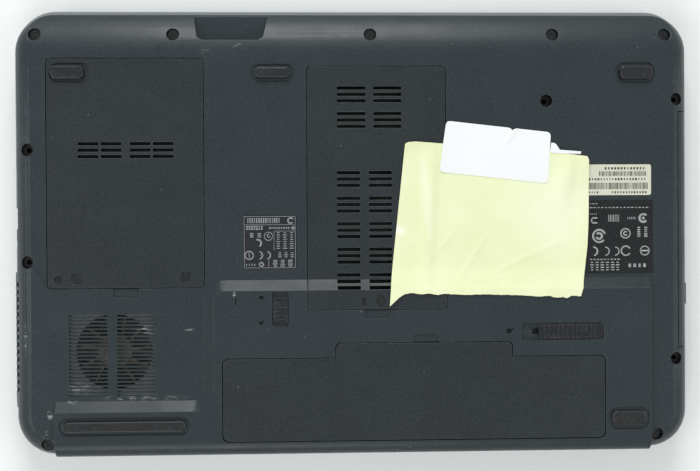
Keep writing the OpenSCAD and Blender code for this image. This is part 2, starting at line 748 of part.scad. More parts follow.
module cover_screws() {
    color("#1e2022") for (p = cover_screw_at) translate([p[0], p[1], 0]) screw(cover_head_r, 1, 4.2, p[2] - 1.2);
}

label_t = 0.2;
module certification_label() { color("#34383b") plate([-62.7, -32.8, -19.7, 10.3], main_z, main_z + label_t, 1); }
module serial_label() { color("#a9aa98") plate([100, 167.3, 20.4, 37.7], main_z, main_z + label_t, 1.5); }
module regulatory_label() { color("#1b1e20") plate([96, 168.3, -23.8, 17.7], main_z, main_z + label_t, 1); }

note_plan = [
    [28, 50.4], [131.7, 42.5], [130.1, -4.8], [126, -36.4], [110, -37.6], [92.5, -36.1], [72, -37],
    [52.9, -34.1], [38, -36], [27.2, -33.7], [18.5, -40.8], [21, -20]
];

// Paper lying on the labels, over the ramp
module paper(plan, lift, t) {
    intersection() {
        translate([0, 0, 20]) linear_extrude(30) polygon(plan);
        difference() {
            roof_profile(-lift - t, 0, 160);
            roof_profile(-lift, -10, 170);
        }
    }
}

module yellow_note() { color("#eff4cb") paper(note_plan, label_t, 0.4); }

module white_sticker() {
    color("#fcfefd") {
        paper([[51.2, 62.7], [110.2, 56.4], [108.4, 27.1], [47.1, 33.6]], label_t + 0.4, 0.2);
        paper([[110.8, 49.9], [126.9, 47.4], [126.9, 43.1], [110.4, 44]], label_t + 0.4, 0.2);
    }
}

module motherboard() {
    color("#2f5a3c") difference() {
        plate(board, board_z, board_top, 2);
        box(board[1] - 4, board[1] + 1, drive_y[0] - 10, drive_y[1] + 3, board_z - 1, board_top + 1);
    }
}

module processor() {
    color("#7d8083") box(cpu_at[0] - 17, cpu_at[0] + 17, cpu_at[1] - 13, cpu_at[1] + 13, board_top, board_top + 2);
}

fin_x = [from_left(7), from_left(22)];

module heat_pipe() {
    z = board_top + 2;
    color("#b5713f") {
        box(cpu_at[0] - 18, cpu_at[0] + 18, cpu_at[1] - 14, cpu_at[1] + 14, z, z + 1.6);
        box(fin_x[0] + 2, cpu_at[0] + 12, pipe_y - 3.5, pipe_y + 3.5, z + 1.6, z + 4);
    }
}

module exhaust_fins() {
    y0 = vent_y[0] + 10;
    y1 = pipe_y - 4;
    color("#9fa3a6") difference() {
        union() {
            box(fin_x[0], fin_x[1], y0, y1, 17, 26);
            box(fin_x[0] + 1, fin_x[1], y1 - 1, pipe_y + 4, board_top + 0.4, board_top + 3.3);
        }
        for (y = [y0 + 1 : 3.2 : y1 - 3]) box(fin_x[0] - 1, fin_x[1] + 1, y, y + 2.4, 18, 25);
    }
}

module fan_housing() {
    b = fan_box;
    color("#222528") {
        difference() {
            plate(b, fan_box_z[0], fan_box_z[1], 4);
            translate([fan_at[0], fan_at[1], fan_box_z[0] + 1]) cylinder(r = fan_r + 2, h = 9.6);
            box(b[0] - 1, fan_at[0], fan_at[1] - 18, fan_at[1] + 18, fan_box_z[0] + 1, fan_box_z[0] + 8);
            translate([fan_at[0], fan_at[1], fan_box_z[0] + 5]) cylinder(r = fan_r - 0.5, h = 20);
        }
        translate([fan_at[0], fan_at[1], fan_box_z[0]]) cylinder(r = fan_pin_r, h = 7);
    }
}

module fan_rotor() {
    z0 = fan_box_z[0] + 1.6;
    hub_r = 9.5;
    color("#6d675e") translate([fan_at[0], fan_at[1], z0]) difference() {
        union() {
            cylinder(r = hub_r, h = 7.6);
            for (i = [0 : blade_count - 1]) rotate([0, 0, i * 360 / blade_count])
                translate([hub_r - 1.4, -0.6, 0.4]) rotate([0, 0, 14]) cube([fan_r - hub_r, 1.2, 6.8]);
        }
        translate([0, 0, -1]) cylinder(r = fan_pin_r + pin_gap, h = 7.4);
    }
}

module memory_modules() {
    color("#2d6b45") for (y = [from_front(70), from_front(106)]) {
        box(-22, 45.6, y - 15, y + 15, board_top + 2.6, board_top + 3.8);
        for (i = [0 : 3]) box(-17 + i * 15, -6 + i * 15, y - 6, y + 8, board_top + 3.8, board_top + 5);
        box(-24, 47.6, y - 19, y - 15.2, board_top, board_top + 5);
    }
}

module hard_drive() {
    color("#8d9194") difference() {
        box(hdd[0], hdd[1], hdd[2], hdd[3], main_z - cover_t - 0.4 - 9.5, main_z - cover_t - 0.4);
        translate([(hdd[0] + hdd[1]) / 2, hdd[3] - 36, main_z - cover_t - 0.8]) cylinder(r = 30, h = 2);
    }
}

module optical_drive() {
    color("#8b8e90") difference() {
        box(odd_case_x[0], odd_case_x[1], drive_y[0] + 1, drive_y[1] - 1, odd_z[0], odd_z[1]);
        box(odd_case_x[0] + 1, odd_x1 + 1, drive_y[0] + 3, drive_y[1] - 3, odd_z[0] + 1, odd_z[0] + 10);
    }
}

module disc_tray() {
    x0 = odd_x1 - tray_travel - 8;
    disc = [(x0 + odd_x1) / 2, (drive_y[0] + drive_y[1]) / 2];
    color("#303336") difference() {
        box(x0, odd_x1 - 0.5, drive_y[0] + 3.4, drive_y[1] - 3.4, odd_z[0] + 1.3, tray_z[1]);
        translate([disc[0], disc[1], tray_z[1] - 2.4]) cylinder(r = 60.2, h = 5);
        translate([disc[0], disc[1], odd_z[0]]) cylinder(r = 17, h = 20);
    }
    color("#55585a") difference() {
        translate([disc[0], disc[1], odd_z[0] + 1.3]) cylinder(r = 17.1, h = 3);
        translate([disc[0], disc[1], odd_z[0] + 2.6]) cylinder(r = 14, h = 3);
    }
}

module bezel_shape(y0, y1, z0, z1) {
    intersection() {
        main_body(0);
        box(odd_x1 - 0.2, base_w, y0, y1, z0, z1);
    }
}

module tray_bezel() {
    color("#2a2d30") difference() {
        bezel_shape(drive_y[0], drive_y[1], bezel_z[0], bezel_z[1]);
        box(odd_x1 + 0.6, base_w, eject_at[0] - 6.3, eject_at[0] + 6.3, eject_at[1] - 1.9, eject_at[1] + 1.9);
        box(odd_x1 - 1, odd_x1 + 2, eject_at[0] - 3.3, eject_at[0] + 3.3, eject_at[1] - 1.3, eject_at[1] + 1.3);
    }
}

module eject_button() {
    x1 = from_right(0.2);
    color("#3b3f42") {
        box(odd_x1 + 1.6, x1, eject_at[0] - 6, eject_at[0] + 6, eject_at[1] - 1.6, eject_at[1] + 1.6);
        box(odd_x1 + eject_travel - 0.4, odd_x1 + 1.7, eject_at[0] - 3, eject_at[0] + 3, eject_at[1] - 1, eject_at[1] + 1);
    }
}

// Key widths along each row, in key pitches, and the four number-pad keys
function sums(v, i = 0, s = 0) = i > len(v) ? [] : concat([s], i < len(v) ? sums(v, i + 1, s + v[i]) : []);
function row_keys(v) = let (s = sums(v)) [for (i = [0 : len(v) - 1]) [s[i] * key_pitch, v[i] * key_pitch]];
pad = [for (i = [0 : 3]) [15 * key_pitch + key_gap_block + i * key_pitch, key_pitch]];
function_row = concat(row_keys([for (i = [1 : 15]) 1]), pad);
number_row = concat(row_keys(concat([for (i = [1 : 13]) 1], [2])), pad);
upper_row = concat(row_keys(concat([1.5], [for (i = [1 : 12]) 1], [1.5])), pad);
home_row = concat(row_keys(concat([1.75], [for (i = [1 : 11]) 1], [2.25])), pad);
lower_row = concat(row_keys(concat([2.25], [for (i = [1 : 10]) 1], [1.75, 1])), pad);
bottom_left = row_keys([1.25, 1, 1, 1.25]);
bottom_right = [for (k = row_keys([1, 1, 1, 1, 1])) [k[0] + 10 * key_pitch, k[1]]];
bottom_row = concat(bottom_left, bottom_right, pad);
space_row = [[4.5 * key_pitch, 5.5 * key_pitch]];

function row_y(k) = keys_y1 - (k + 1) * key_pitch;
function stems(k) = k[1] > 40 ? [k[0] + 14, k[0] + k[1] - 14] : [k[0] + k[1] / 2];

module key_row(row, y, d) {
    color("#1b1d1f") for (k = row) {
        translate([keys_x0 + k[0] + key_gap / 2, y + key_gap / 2, cap_z])
            cube([k[1] - key_gap, d - key_gap, cap_t]);
        for (x = stems(k)) translate([keys_x0 + x, y + d / 2, cap_z + cap_t - e])
            cylinder(r = stem_r, h = plate_z + 0.4 - cap_z - cap_t);
    }
}

module function_keys() { key_row(function_row, keys_y0, function_row_d); }
module number_keys() { key_row(number_row, row_y(4), key_pitch); }
module upper_keys() { key_row(upper_row, row_y(3), key_pitch); }
module home_keys() { key_row(home_row, row_y(2), key_pitch); }
module lower_keys() { key_row(lower_row, row_y(1), key_pitch); }
module bottom_keys() { key_row(bottom_row, row_y(0), key_pitch); }
module space_bar() { key_row(space_row, row_y(0), key_pitch); }

module stem_holes(row, y, d) {
    for (k = row, x = stems(k)) translate([keys_x0 + x, y + d / 2]) circle(stem_r + stem_gap);
}

module keyboard_plate() {
    color("#7b7e81") translate([0, 0, plate_z]) linear_extrude(plate_t) difference() {
        rounded_rect(keys_x0 - 3.4, -keys_x0 + 3.4, keys_y0 - 3.4, keys_y1 + 3.4, 1);
        stem_holes(function_row, keys_y0, function_row_d);
        stem_holes(number_row, row_y(4), key_pitch);
        stem_holes(upper_row, row_y(3), key_pitch);
        stem_holes(home_row, row_y(2), key_pitch);
        stem_holes(lower_row, row_y(1), key_pitch);
        stem_holes(concat(bottom_row, space_row), row_y(0), key_pitch);
    }
}

module touchpad() { color("#3f4447") plate(touch_window, deck_z + 0.3, deck_in, 1.6); }

module touch_button(side) {
    mid = (touch_window[0] + touch_window[1]) / 2;
    xs = [mid + side * 0.3, side < 0 ? touch_window[0] : touch_window[1]];
    color("#55595c") box(min(xs), max(xs), button_y[0], button_y[1], deck_z + 0.2, deck_in);
}

module left_touch_button() { touch_button(-1); }
module right_touch_button() { touch_button(1); }

module power_button() {
    color("#b9bcbe") translate([power_at[0], power_at[1], deck_z - 0.3]) difference() {
        cylinder(r = power_r, h = deck_in - deck_z + 0.3);
        translate([0, 0, -1]) cylinder(r = power_r - 1.2, h = 1.3);
    }
}

module hinge_brackets() {
    mid = (knuckle_x[0] + knuckle_x[1]) / 2;
    color("#8a8d90") for (s = [-1, 1]) translate([s * mid, hinge_y, 0]) difference() {
        union() {
            translate([-9, 0, hinge_z]) rotate([0, 90, 0]) cylinder(r = barrel_r, h = 18);
            box(-9, 9, -2, 2, hinge_z, deck_in + 0.2);
            box(-11, 11, -2, 12, deck_in, deck_in + 1.4);
        }
        translate([-20, 0, hinge_z]) rotate([0, 90, 0]) cylinder(r = hinge_pin_r + pin_gap, h = 40);
    }
}

module hinge_covers() {
    mid = (knuckle_x[0] + knuckle_x[1]) / 2;
    half = (knuckle_x[1] - knuckle_x[0]) / 2;
    color("#3a4144") for (s = [-1, 1]) translate([s * mid, hinge_y, 0]) difference() {
        union() {
            translate([-half, 0, hinge_z]) rotate([0, 90, 0]) cylinder(r = knuckle_r, h = 2 * half);
            box(-half, half, -knuckle_r, knuckle_r, hinge_z, deck_z);
        }
        translate([-9.2, 0, hinge_z]) rotate([0, 90, 0]) cylinder(r = barrel_r + 0.2, h = 18.4);
        box(-9.2, 9.2, -2.2, 2.2, hinge_z, deck_z + 1);
        translate([-20, 0, hinge_z]) rotate([0, 90, 0]) cylinder(r = hinge_pin_r + 0.3, h = 40);
    }
}

module speakers() {
    color("#1d1f21") for (s = [-1, 1]) translate([s * 62, from_rear(11), 0]) plate([-16, 16, -6.4, 8.4],
        deck_in, deck_in + 4.4, 3);
}

module wireless_card() {
    color("#2b6f8f") plate([-15, 15, from_rear(76), from_rear(102)], board_top, board_top + 2, 0.5);
}

module network_socket() {
    w = network_size;
    color("#a3a6a8") difference() {
        box(socket_x[0], socket_x[1], network_y - w[0] / 2, network_y + w[0] / 2, plate_z + plate_t, socket_z + w[1]);
        box(socket_x[0] - 1, socket_x[1] - 1.5, network_y - network_hole[0] / 2, network_y + network_hole[0] / 2,
            socket_z + 1.4, socket_z + 1.4 + network_hole[1]);
    }
}

module usb_sockets() {
    color("#b4b7b9") for (y = usb_y) difference() {
        box(socket_x[0], socket_x[1], y - usb_size[0] / 2, y + usb_size[0] / 2, deck_in, socket_z + usb_size[1]);
        box(socket_x[0] - 1, socket_x[1] - 1, y - usb_hole[0] / 2, y + usb_hole[0] / 2,
            socket_z + 0.7, socket_z + 0.7 + usb_hole[1]);
    }
}

module audio_jacks() {
    color("#2a2c2e") for (y = jack_y) difference() {
        box(socket_x[0], socket_x[1], y - 3.4, y + 3.4, deck_in, jack_z + 3.2);
        translate([socket_x[0] - 1, y, jack_z]) rotate([0, 90, 0]) cylinder(r = jack_r, h = 13);
    }
}

module power_inlet() {
    color("#202224") difference() {
        box(socket_x[0], socket_x[1], inlet_y - 4.6, inlet_y + 4.6, plate_z + plate_t, jack_z + 5.4);
        difference() {
            translate([socket_x[0] - 1, inlet_y, jack_z + 1]) rotate([0, 90, 0]) cylinder(r = 2.9, h = 9.5);
            translate([socket_x[0] - 2, inlet_y, jack_z + 1]) rotate([0, 90, 0]) cylinder(r = 0.9, h = 20);
        }
    }
}

module coin_cell() {
    color("#b9bcc0") translate([-60, from_front(80), board_top]) cylinder(r = 10, h = 3.2);
}

lid_cover();
screen_bezel();
display_panel();
webcam_module();
lid_hinge_arms();
bezel_bumpers();
bezel_screws();
bottom_case();
palm_rest();
hard_drive_cover();
memory_cover();
battery_pack();
release_latch();
lock_latch();
rear_left_foot();
rear_right_foot();
front_left_foot();
front_centre_foot();
front_right_foot();
case_screws();
cover_screws();
certification_label();
serial_label();
regulatory_label();
yellow_note();
white_sticker();
motherboard();
processor();
heat_pipe();
exhaust_fins();
fan_housing();
fan_rotor();
memory_modules();
hard_drive();
optical_drive();
disc_tray();
tray_bezel();
eject_button();
keyboard_plate();
function_keys();
number_keys();
upper_keys();
home_keys();
lower_keys();
bottom_keys();
space_bar();
touchpad();
left_touch_button();
right_touch_button();
power_button();
hinge_brackets();
hinge_covers();
speakers();
wireless_card();
network_socket();
usb_sockets();
audio_jacks();
power_inlet();
coin_cell();
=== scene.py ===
"""Looks of a broken laptop that lies closed on its lid with the underside up.

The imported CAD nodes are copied, their edges are rounded, and each copy gets the finish of its real
material. Print, small marks and the two papers are added, and then the studio round the laptop.
"""

from __future__ import annotations

import json
import logging
import math
from dataclasses import dataclass, replace
from enum import Enum
from typing import Any, Callable, Sequence

import bmesh
import bpy
import numpy as np
from mathutils import Matrix, Vector, noise
from mathutils.bvhtree import BVHTree

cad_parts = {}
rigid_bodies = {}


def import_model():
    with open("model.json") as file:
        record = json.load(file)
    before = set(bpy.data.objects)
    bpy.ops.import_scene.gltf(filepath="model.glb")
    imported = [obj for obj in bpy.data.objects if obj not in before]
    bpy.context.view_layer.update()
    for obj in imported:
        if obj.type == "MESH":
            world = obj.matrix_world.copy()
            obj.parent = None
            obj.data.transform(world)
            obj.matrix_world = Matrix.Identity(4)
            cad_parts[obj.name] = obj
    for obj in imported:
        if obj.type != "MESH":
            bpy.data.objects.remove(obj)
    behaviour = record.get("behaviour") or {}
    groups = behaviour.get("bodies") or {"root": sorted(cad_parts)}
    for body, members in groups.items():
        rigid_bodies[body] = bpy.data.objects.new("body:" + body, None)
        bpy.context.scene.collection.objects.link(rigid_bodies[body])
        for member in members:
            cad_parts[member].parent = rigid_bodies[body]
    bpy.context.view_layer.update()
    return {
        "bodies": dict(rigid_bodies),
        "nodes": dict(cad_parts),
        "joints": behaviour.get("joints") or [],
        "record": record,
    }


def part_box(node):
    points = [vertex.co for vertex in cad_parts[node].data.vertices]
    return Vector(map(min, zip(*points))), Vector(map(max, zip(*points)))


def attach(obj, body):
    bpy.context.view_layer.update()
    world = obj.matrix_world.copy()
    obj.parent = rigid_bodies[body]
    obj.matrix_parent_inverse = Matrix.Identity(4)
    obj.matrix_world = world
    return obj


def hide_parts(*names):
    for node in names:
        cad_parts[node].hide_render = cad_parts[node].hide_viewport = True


MM = 0.001
LOG = logging.getLogger("laptop")
ROUND_FROM = 28.0  # degrees of turn from which an edge is rounded
LEVEL_WITHIN = 0.4  # degrees within which two faces are level with each other
FLAT_FROM = 60.0  # square millimetres from which a level area counts as a flat
FLAT_LEAN = 26.0  # degrees that the normals of a flat may lean
CURVE_LEAN = 58.0  # degrees that the normals of a smaller area may lean
STRIP_BELOW = 0.35  # millimetres of width below which a level area is part of a rounding
WEAR_GAIN = 3.2  # how fast an outward edge gains wear with its turn
FOLDED_BELOW = -0.97  # cosine between two faces below which one has folded over the other
UNFOLD_PASSES = 24  # times that the folded slivers of a rounding are looked for again
STRAY_SHARE = 0.6  # share of a rounding's width that its points may lie from the sharp surface
INK_MM = 0.03  # thickness of print, and of the dark sheet of a sunk mark or of the nick
Point = tuple[float, float]
Height = Callable[[float, float], float]


class Wear(Enum):
    """How far a moulded surface has been rubbed."""

    FRESH = 0.15
    HANDLED = 0.45
    SCUFFED = 0.8


def linear(hex_code: str, alpha: float = 1.0) -> tuple[float, float, float, float]:
    """Turns an sRGB hex colour into the linear colour that shaders use.

    Args:
        hex_code: Six hex digits, with or without a leading #.
        alpha: The fourth value.

    Returns:
        Linear red, green and blue, and alpha.
    """
    digits = hex_code.lstrip("#")
    values = [int(digits[i : i + 2], 16) / 255 for i in (0, 2, 4)]
    curve = [v / 12.92 if v <= 0.04045 else ((v + 0.055) / 1.055) ** 2.4 for v in values]
    return (curve[0], curve[1], curve[2], alpha)


def socket_of(sockets: Any, key: str | int) -> Any:
    """Finds a socket by its number, identifier or name."""
    if isinstance(key, int):
        return sockets[key]
    return next((s for s in sockets if s.identifier == key), None) or sockets[key]


def add_node(
    tree: bpy.types.NodeTree,
    kind: str,
    settings: dict[str, Any] | None = None,
    links: dict[str | int, Any] | None = None,
) -> bpy.types.Node:
    """Adds a node with its settings and links.

    Args:
        tree: The node tree.
        kind: The node's type, such as ShaderNodeBump.
        settings: Properties of the node, or values of its inputs.
        links: Input to the output socket, or the node, that feeds it.

    Returns:
        The node.
    """
    made = tree.nodes.new(kind)
    waiting = dict(settings or {})
    for key in [k for k in waiting if isinstance(k, str) and hasattr(made, k)]:
        setattr(made, key, waiting.pop(key))
    for key, value in waiting.items():
        socket_of(made.inputs, key).default_value = value
    for key, source in (links or {}).items():
        feed = source.outputs[0] if isinstance(source, bpy.types.Node) else source
        tree.links.new(feed, socket_of(made.inputs, key))
    return made


# ---------------------------------------------------------------- finishes


@dataclass(frozen=True)
class Scuff:
    """A rubbed or chipped patch on a surface.

    Attributes:
        x: Centre across the laptop, in mm.
        y: Centre along the laptop, in mm.
        width: Half width, in mm.
        depth: Half depth, in mm.
        turn: Turn in degrees.
        strength: Share of the bare colour that shows.
    """

    x: float
    y: float
    width: float
    depth: float
    turn: float = 0.0
    strength: float = 1.0


@dataclass(frozen=True)
class ShadedRecess:
    """A hollow of a shell whose inner walls are painted near black as shade.

    Attributes:
        x: Centre across the laptop, in mm.
        y: Centre along the laptop, in mm.
        width: Half width, in mm.
        depth: Half depth, in mm.
        top: Height below which the painted shade shows, in mm.
        is_round: Whether it is a round well and not a square pocket.
        turn: Turn in degrees, which a round well doesn't show.
    """

    x: float
    y: float
    width: float
    depth: float
    top: float
    is_round: bool = False
    turn: float = 0.0


@dataclass(frozen=True)
class Finish:
    """A surface finish whose pattern follows the piece's own place in millimetres.

    Attributes:
        name: Name of the material, after the real one and its process.
        colour: Main colour as hex.
        mottle: Second colour, which large soft patches lean to.
        mottle_mm: Size of those patches.
        roughness: Mean roughness.
        grain_mm: Size of the surface texture.
        grain_depth_mm: Depth of the surface texture.
        metallic: 1 for bare metal.
        specular: Specular level, for plastics and film.
    """

    name: str
    colour: str
    mottle: str = ""
    mottle_mm: float = 30.0
    roughness: float = 0.5
    grain_mm: float = 0.9
    grain_depth_mm: float = 0.02
    metallic: float = 0.0
    specular: float = 0.5

    def material(self) -> bpy.types.Material:
        """Returns the Blender material, which is made at its first use."""
        found = bpy.data.materials.get(self.name)
        if found:
            return found
        made = bpy.data.materials.new(self.name)
        made.use_nodes = True
        made.diffuse_color = linear(self.colour)
        tree = made.node_tree
        tree.nodes.clear()
        shader = add_node(tree, "ShaderNodeBsdfPrincipled", self.shader_values())
        add_node(tree, "ShaderNodeOutputMaterial", links={"Surface": shader})
        place = add_node(tree, "ShaderNodeTexCoord").outputs["Object"]
        colour = self.colour_nodes(tree, place)
        tree.links.new(colour, shader.inputs["Base Color"])
        tree.links.new(self.roughness_nodes(tree, place), shader.inputs["Roughness"])
        tree.links.new(self.bump_nodes(tree, place), shader.inputs["Normal"])
        return made

    def shader_values(self) -> dict[str, Any]:
        """Returns the values that are the same all over the surface."""
        values: dict[str, Any] = {"Metallic": self.metallic}
        if self.metallic < 0.5:
            values["Specular IOR Level"] = self.specular
        return values

    def cloud(self, tree: bpy.types.NodeTree, place: Any, size_mm: float, detail: float = 3.0) -> Any:
        """Returns soft noise whose patches have the given size."""
        return add_node(
            tree,
            "ShaderNodeTexNoise",
            {"Scale": 1 / (size_mm * MM), "Detail": detail, "Roughness": 0.55},
            {"Vector": place},
        ).outputs["Fac"]

    def ramp(self, tree: bpy.types.NodeTree, value: Any, low: float, high: float, to: Point = (0, 1)) -> Any:
        """Returns value stretched from low...high to the given span, and clamped."""
        return add_node(
            tree,
            "ShaderNodeMapRange",
            {"From Min": low, "From Max": high, "To Min": to[0], "To Max": to[1]},
            {"Value": value},
        ).outputs["Result"]

    def blend(self, tree: bpy.types.NodeTree, share: Any, first: Any, second: Any) -> Any:
        """Returns first turned to second by share. Each colour is hex or a socket."""
        node = add_node(tree, "ShaderNodeMix", {"data_type": "RGBA"}, {"Factor_Float": share})
        for key, colour in (("A_Color", first), ("B_Color", second)):
            if isinstance(colour, str):
                socket_of(node.inputs, key).default_value = linear(colour)
            else:
                tree.links.new(colour, socket_of(node.inputs, key))
        return socket_of(node.outputs, "Result_Color")

    def product(self, tree: bpy.types.NodeTree, first: Any, second: Any, kind: str = "MULTIPLY") -> Any:
        """Returns two values joined by a math operation."""
        node = add_node(tree, "ShaderNodeMath", {"operation": kind})
        for index, value in enumerate((first, second)):
            if isinstance(value, (int, float)):
                node.inputs[index].default_value = value
            else:
                tree.links.new(value, node.inputs[index])
        return node.outputs[0]

    def reach(self, tree: bpy.types.NodeTree, place: Any, spot: "Scuff | ShadedRecess") -> Any:
        """Returns how far a place is from the middle of a spot in plan, where 1 is the spot's edge."""
        local = add_node(
            tree,
            "ShaderNodeMapping",
            {
                "vector_type": "TEXTURE",
                "Location": (spot.x * MM, spot.y * MM, 0),
                "Rotation": (0, 0, math.radians(spot.turn)),
                "Scale": (spot.width * MM, spot.depth * MM, 1),
            },
            {"Vector": place},
        )
        flat = add_node(tree, "ShaderNodeVectorMath", {"operation": "MULTIPLY", 1: (1, 1, 0)}, {0: local})
        return add_node(tree, "ShaderNodeVectorMath", {"operation": "LENGTH"}, {0: flat}).outputs["Value"]

    def worn_edge(self, tree: bpy.types.NodeTree) -> Any:
        """Returns how far an edge is worn, as mark_edge_wear stored it."""
        return add_node(tree, "ShaderNodeAttribute", {"attribute_name": "edge_wear"}).outputs["Fac"]

    def colour_nodes(self, tree: bpy.types.NodeTree, place: Any) -> Any:
        """Returns the socket of the colour: the main colour with large soft patches."""
        share = self.ramp(tree, self.cloud(tree, place, self.mottle_mm), 0.35, 0.65)
        return self.blend(tree, share, self.colour, self.mottle or self.colour)

    def roughness_nodes(self, tree: bpy.types.NodeTree, place: Any) -> Any:
        """Returns the socket of the roughness, which varies in patches."""
        span = (max(self.roughness - 0.06, 0.03), self.roughness + 0.06)
        return self.ramp(tree, self.cloud(tree, place, self.mottle_mm * 0.6), 0.3, 0.7, span)

    def bump_nodes(self, tree: bpy.types.NodeTree, place: Any) -> Any:
        """Returns the socket of the normal: an even fine grain."""
        return add_node(
            tree,
            "ShaderNodeBump",
            {"Strength": 1.0, "Distance": self.grain_depth_mm * MM},
            {"Height": self.cloud(tree, place, self.grain_mm, 2.0)},
        ).outputs["Normal"]


@dataclass(frozen=True)
class MouldedAbs(Finish):
    """ABS moulded in a spark-eroded tool: fine matte pebble, paler where it is rubbed, with dust specks.

    Attributes:
        rubbed: Colour of worn edges and scuffs.
        wear: How far the surface has been rubbed.
        scuffs: The patches that are scuffed most.
        shaded_recesses: The hollows that are painted near black as shade.
        specks: Share of the surface that holds dust specks.
    """

    rubbed: str = "8b9092"
    wear: Wear = Wear.HANDLED
    scuffs: tuple[Scuff, ...] = ()
    shaded_recesses: tuple[ShadedRecess, ...] = ()
    specks: float = 1.0

    def scuff_mask(self, tree: bpy.types.NodeTree, place: Any, scuff: Scuff) -> Any:
        """Returns where a scuff shows: an ellipse broken up by scratches."""
        inside = self.ramp(tree, self.reach(tree, place, scuff), 0.35, 1.0, (1, 0))
        streak = add_node(
            tree,
            "ShaderNodeMapping",
            {"Rotation": (0, 0, math.radians(-scuff.turn)), "Scale": (250, 1100, 400)},
            {"Vector": place},
        )
        chips = add_node(tree, "ShaderNodeTexNoise", {"Scale": 1.0, "Detail": 4.0}, {"Vector": streak})
        broken = self.ramp(tree, chips.outputs["Fac"], 0.48, 0.6, (0, scuff.strength))
        return self.product(tree, inside, broken)

    def painted_shade_mask(self, tree: bpy.types.NodeTree, place: Any, recess: ShadedRecess) -> Any:
        """Returns where a hollow is, from its floor up to its top, for its painted shade."""
        middle = recess.top / 2
        local = add_node(
            tree,
            "ShaderNodeMapping",
            {
                "vector_type": "TEXTURE",
                "Location": (recess.x * MM, recess.y * MM, middle * MM),
                "Scale": (recess.width * MM, recess.depth * MM, middle * MM),
            },
            {"Vector": place},
        )
        size = add_node(tree, "ShaderNodeVectorMath", {"operation": "ABSOLUTE"}, {0: local})
        parts = add_node(tree, "ShaderNodeSeparateXYZ", {}, {"Vector": size}).outputs
        if recess.is_round:
            reach = self.reach(tree, place, recess)
        else:
            reach = self.product(tree, parts["X"], parts["Y"], "MAXIMUM")
        inside = self.ramp(tree, reach, 0.99, 1.0, (1, 0))
        return self.product(tree, inside, self.ramp(tree, parts["Z"], 0.99, 1.0, (1, 0)))

    def colour_nodes(self, tree: bpy.types.NodeTree, place: Any) -> Any:
        """Returns the colour: soft patches, pebble shade, specks, rubbed edges, scuffs and painted shade in
        hollows.
        """
        base = super().colour_nodes(tree, place)
        pebble = self.ramp(tree, self.cloud(tree, place, 1.3, 2.0), 0.35, 0.75, (0, 0.05))
        base = self.blend(tree, pebble, base, self.rubbed)
        cells = add_node(
            tree, "ShaderNodeTexVoronoi", {"Scale": 1 / (7 * MM), "Randomness": 1.0}, {"Vector": place}
        )
        speck = self.ramp(tree, cells.outputs["Distance"], 0.02, 0.05, (0.55 * self.specks, 0))
        patchy = self.ramp(tree, self.cloud(tree, place, 45), 0.5, 0.62)
        base = self.blend(tree, self.product(tree, speck, patchy), base, "b9bfc0")
        span = (0.2 * self.wear.value, self.wear.value)
        nicks = self.ramp(tree, self.cloud(tree, place, 3.5), 0.35, 0.7, span)
        base = self.blend(tree, self.product(tree, self.worn_edge(tree), nicks), base, self.rubbed)
        for scuff in self.scuffs:
            base = self.blend(tree, self.scuff_mask(tree, place, scuff), base, "a9adad")
        # Painted shade: the walls and floor of each hollow are turned near black (050606)
        for recess in self.shaded_recesses:
            base = self.blend(tree, self.painted_shade_mask(tree, place, recess), base, "050606")
        return base


@dataclass(frozen=True)
class WornRubber(Finish):
    """Moulded rubber: black and dull, with the pale dust that it holds and greyer edges."""

    def colour_nodes(self, tree: bpy.types.NodeTree, place: Any) -> Any:
        """Returns the colour: dust in patches over the rubber, most at its edges."""
        base = super().colour_nodes(tree, place)
        dust = self.ramp(tree, self.cloud(tree, place, 2.2, 4.0), 0.5, 0.75, (0, 0.22))
        base = self.blend(tree, dust, base, "55575a")
        return self.blend(tree, self.product(tree, self.worn_edge(tree), 0.3), base, "6c6e70")


@dataclass(frozen=True)
class BrushedMetal(Finish):
    """Rolled or stamped sheet metal: long fine lines one way, and duller patches.

    Attributes:
        line_mm: Width of the rolling lines.
        along: The axis that they follow, 0 for x or 1 for y.
    """

    line_mm: float = 0.35
    along: int = 0

    def lines(self, tree: bpy.types.NodeTree, place: Any) -> Any:
        """Returns noise drawn out into lines."""
        fine = 1 / (self.line_mm * MM)
        scale = (fine / 30, fine, fine) if self.along == 0 else (fine, fine / 30, fine)
        drawn = add_node(tree, "ShaderNodeMapping", {"Scale": scale}, {"Vector": place})
        grain = add_node(tree, "ShaderNodeTexNoise", {"Scale": 1.0, "Detail": 2.0}, {"Vector": drawn})
        return grain.outputs["Fac"]

    def roughness_nodes(self, tree: bpy.types.NodeTree, place: Any) -> Any:
        """Returns the roughness, which the lines change."""
        span = (max(self.roughness - 0.1, 0.05), self.roughness + 0.12)
        return self.ramp(tree, self.lines(tree, place), 0.3, 0.7, span)

    def bump_nodes(self, tree: bpy.types.NodeTree, place: Any) -> Any:
        """Returns the normal: shallow lines."""
        return add_node(
            tree,
            "ShaderNodeBump",
            {"Strength": 0.6, "Distance": self.grain_depth_mm * MM},
            {"Height": self.lines(tree, place)},
        ).outputs["Normal"]


@dataclass(frozen=True)
class CoatedSteel(Finish):
    """Steel with a black coat: dark, half gloss, bright where a driver or a thumb wore it."""

    def colour_nodes(self, tree: bpy.types.NodeTree, place: Any) -> Any:
        """Returns the colour: the coat, worn through at the edges."""
        base = super().colour_nodes(tree, place)
        nicks = self.ramp(tree, self.cloud(tree, place, 0.8), 0.4, 0.65, (0.1, 0.9))
        return self.blend(tree, self.product(tree, self.worn_edge(tree), nicks), base, "9a9c9e")


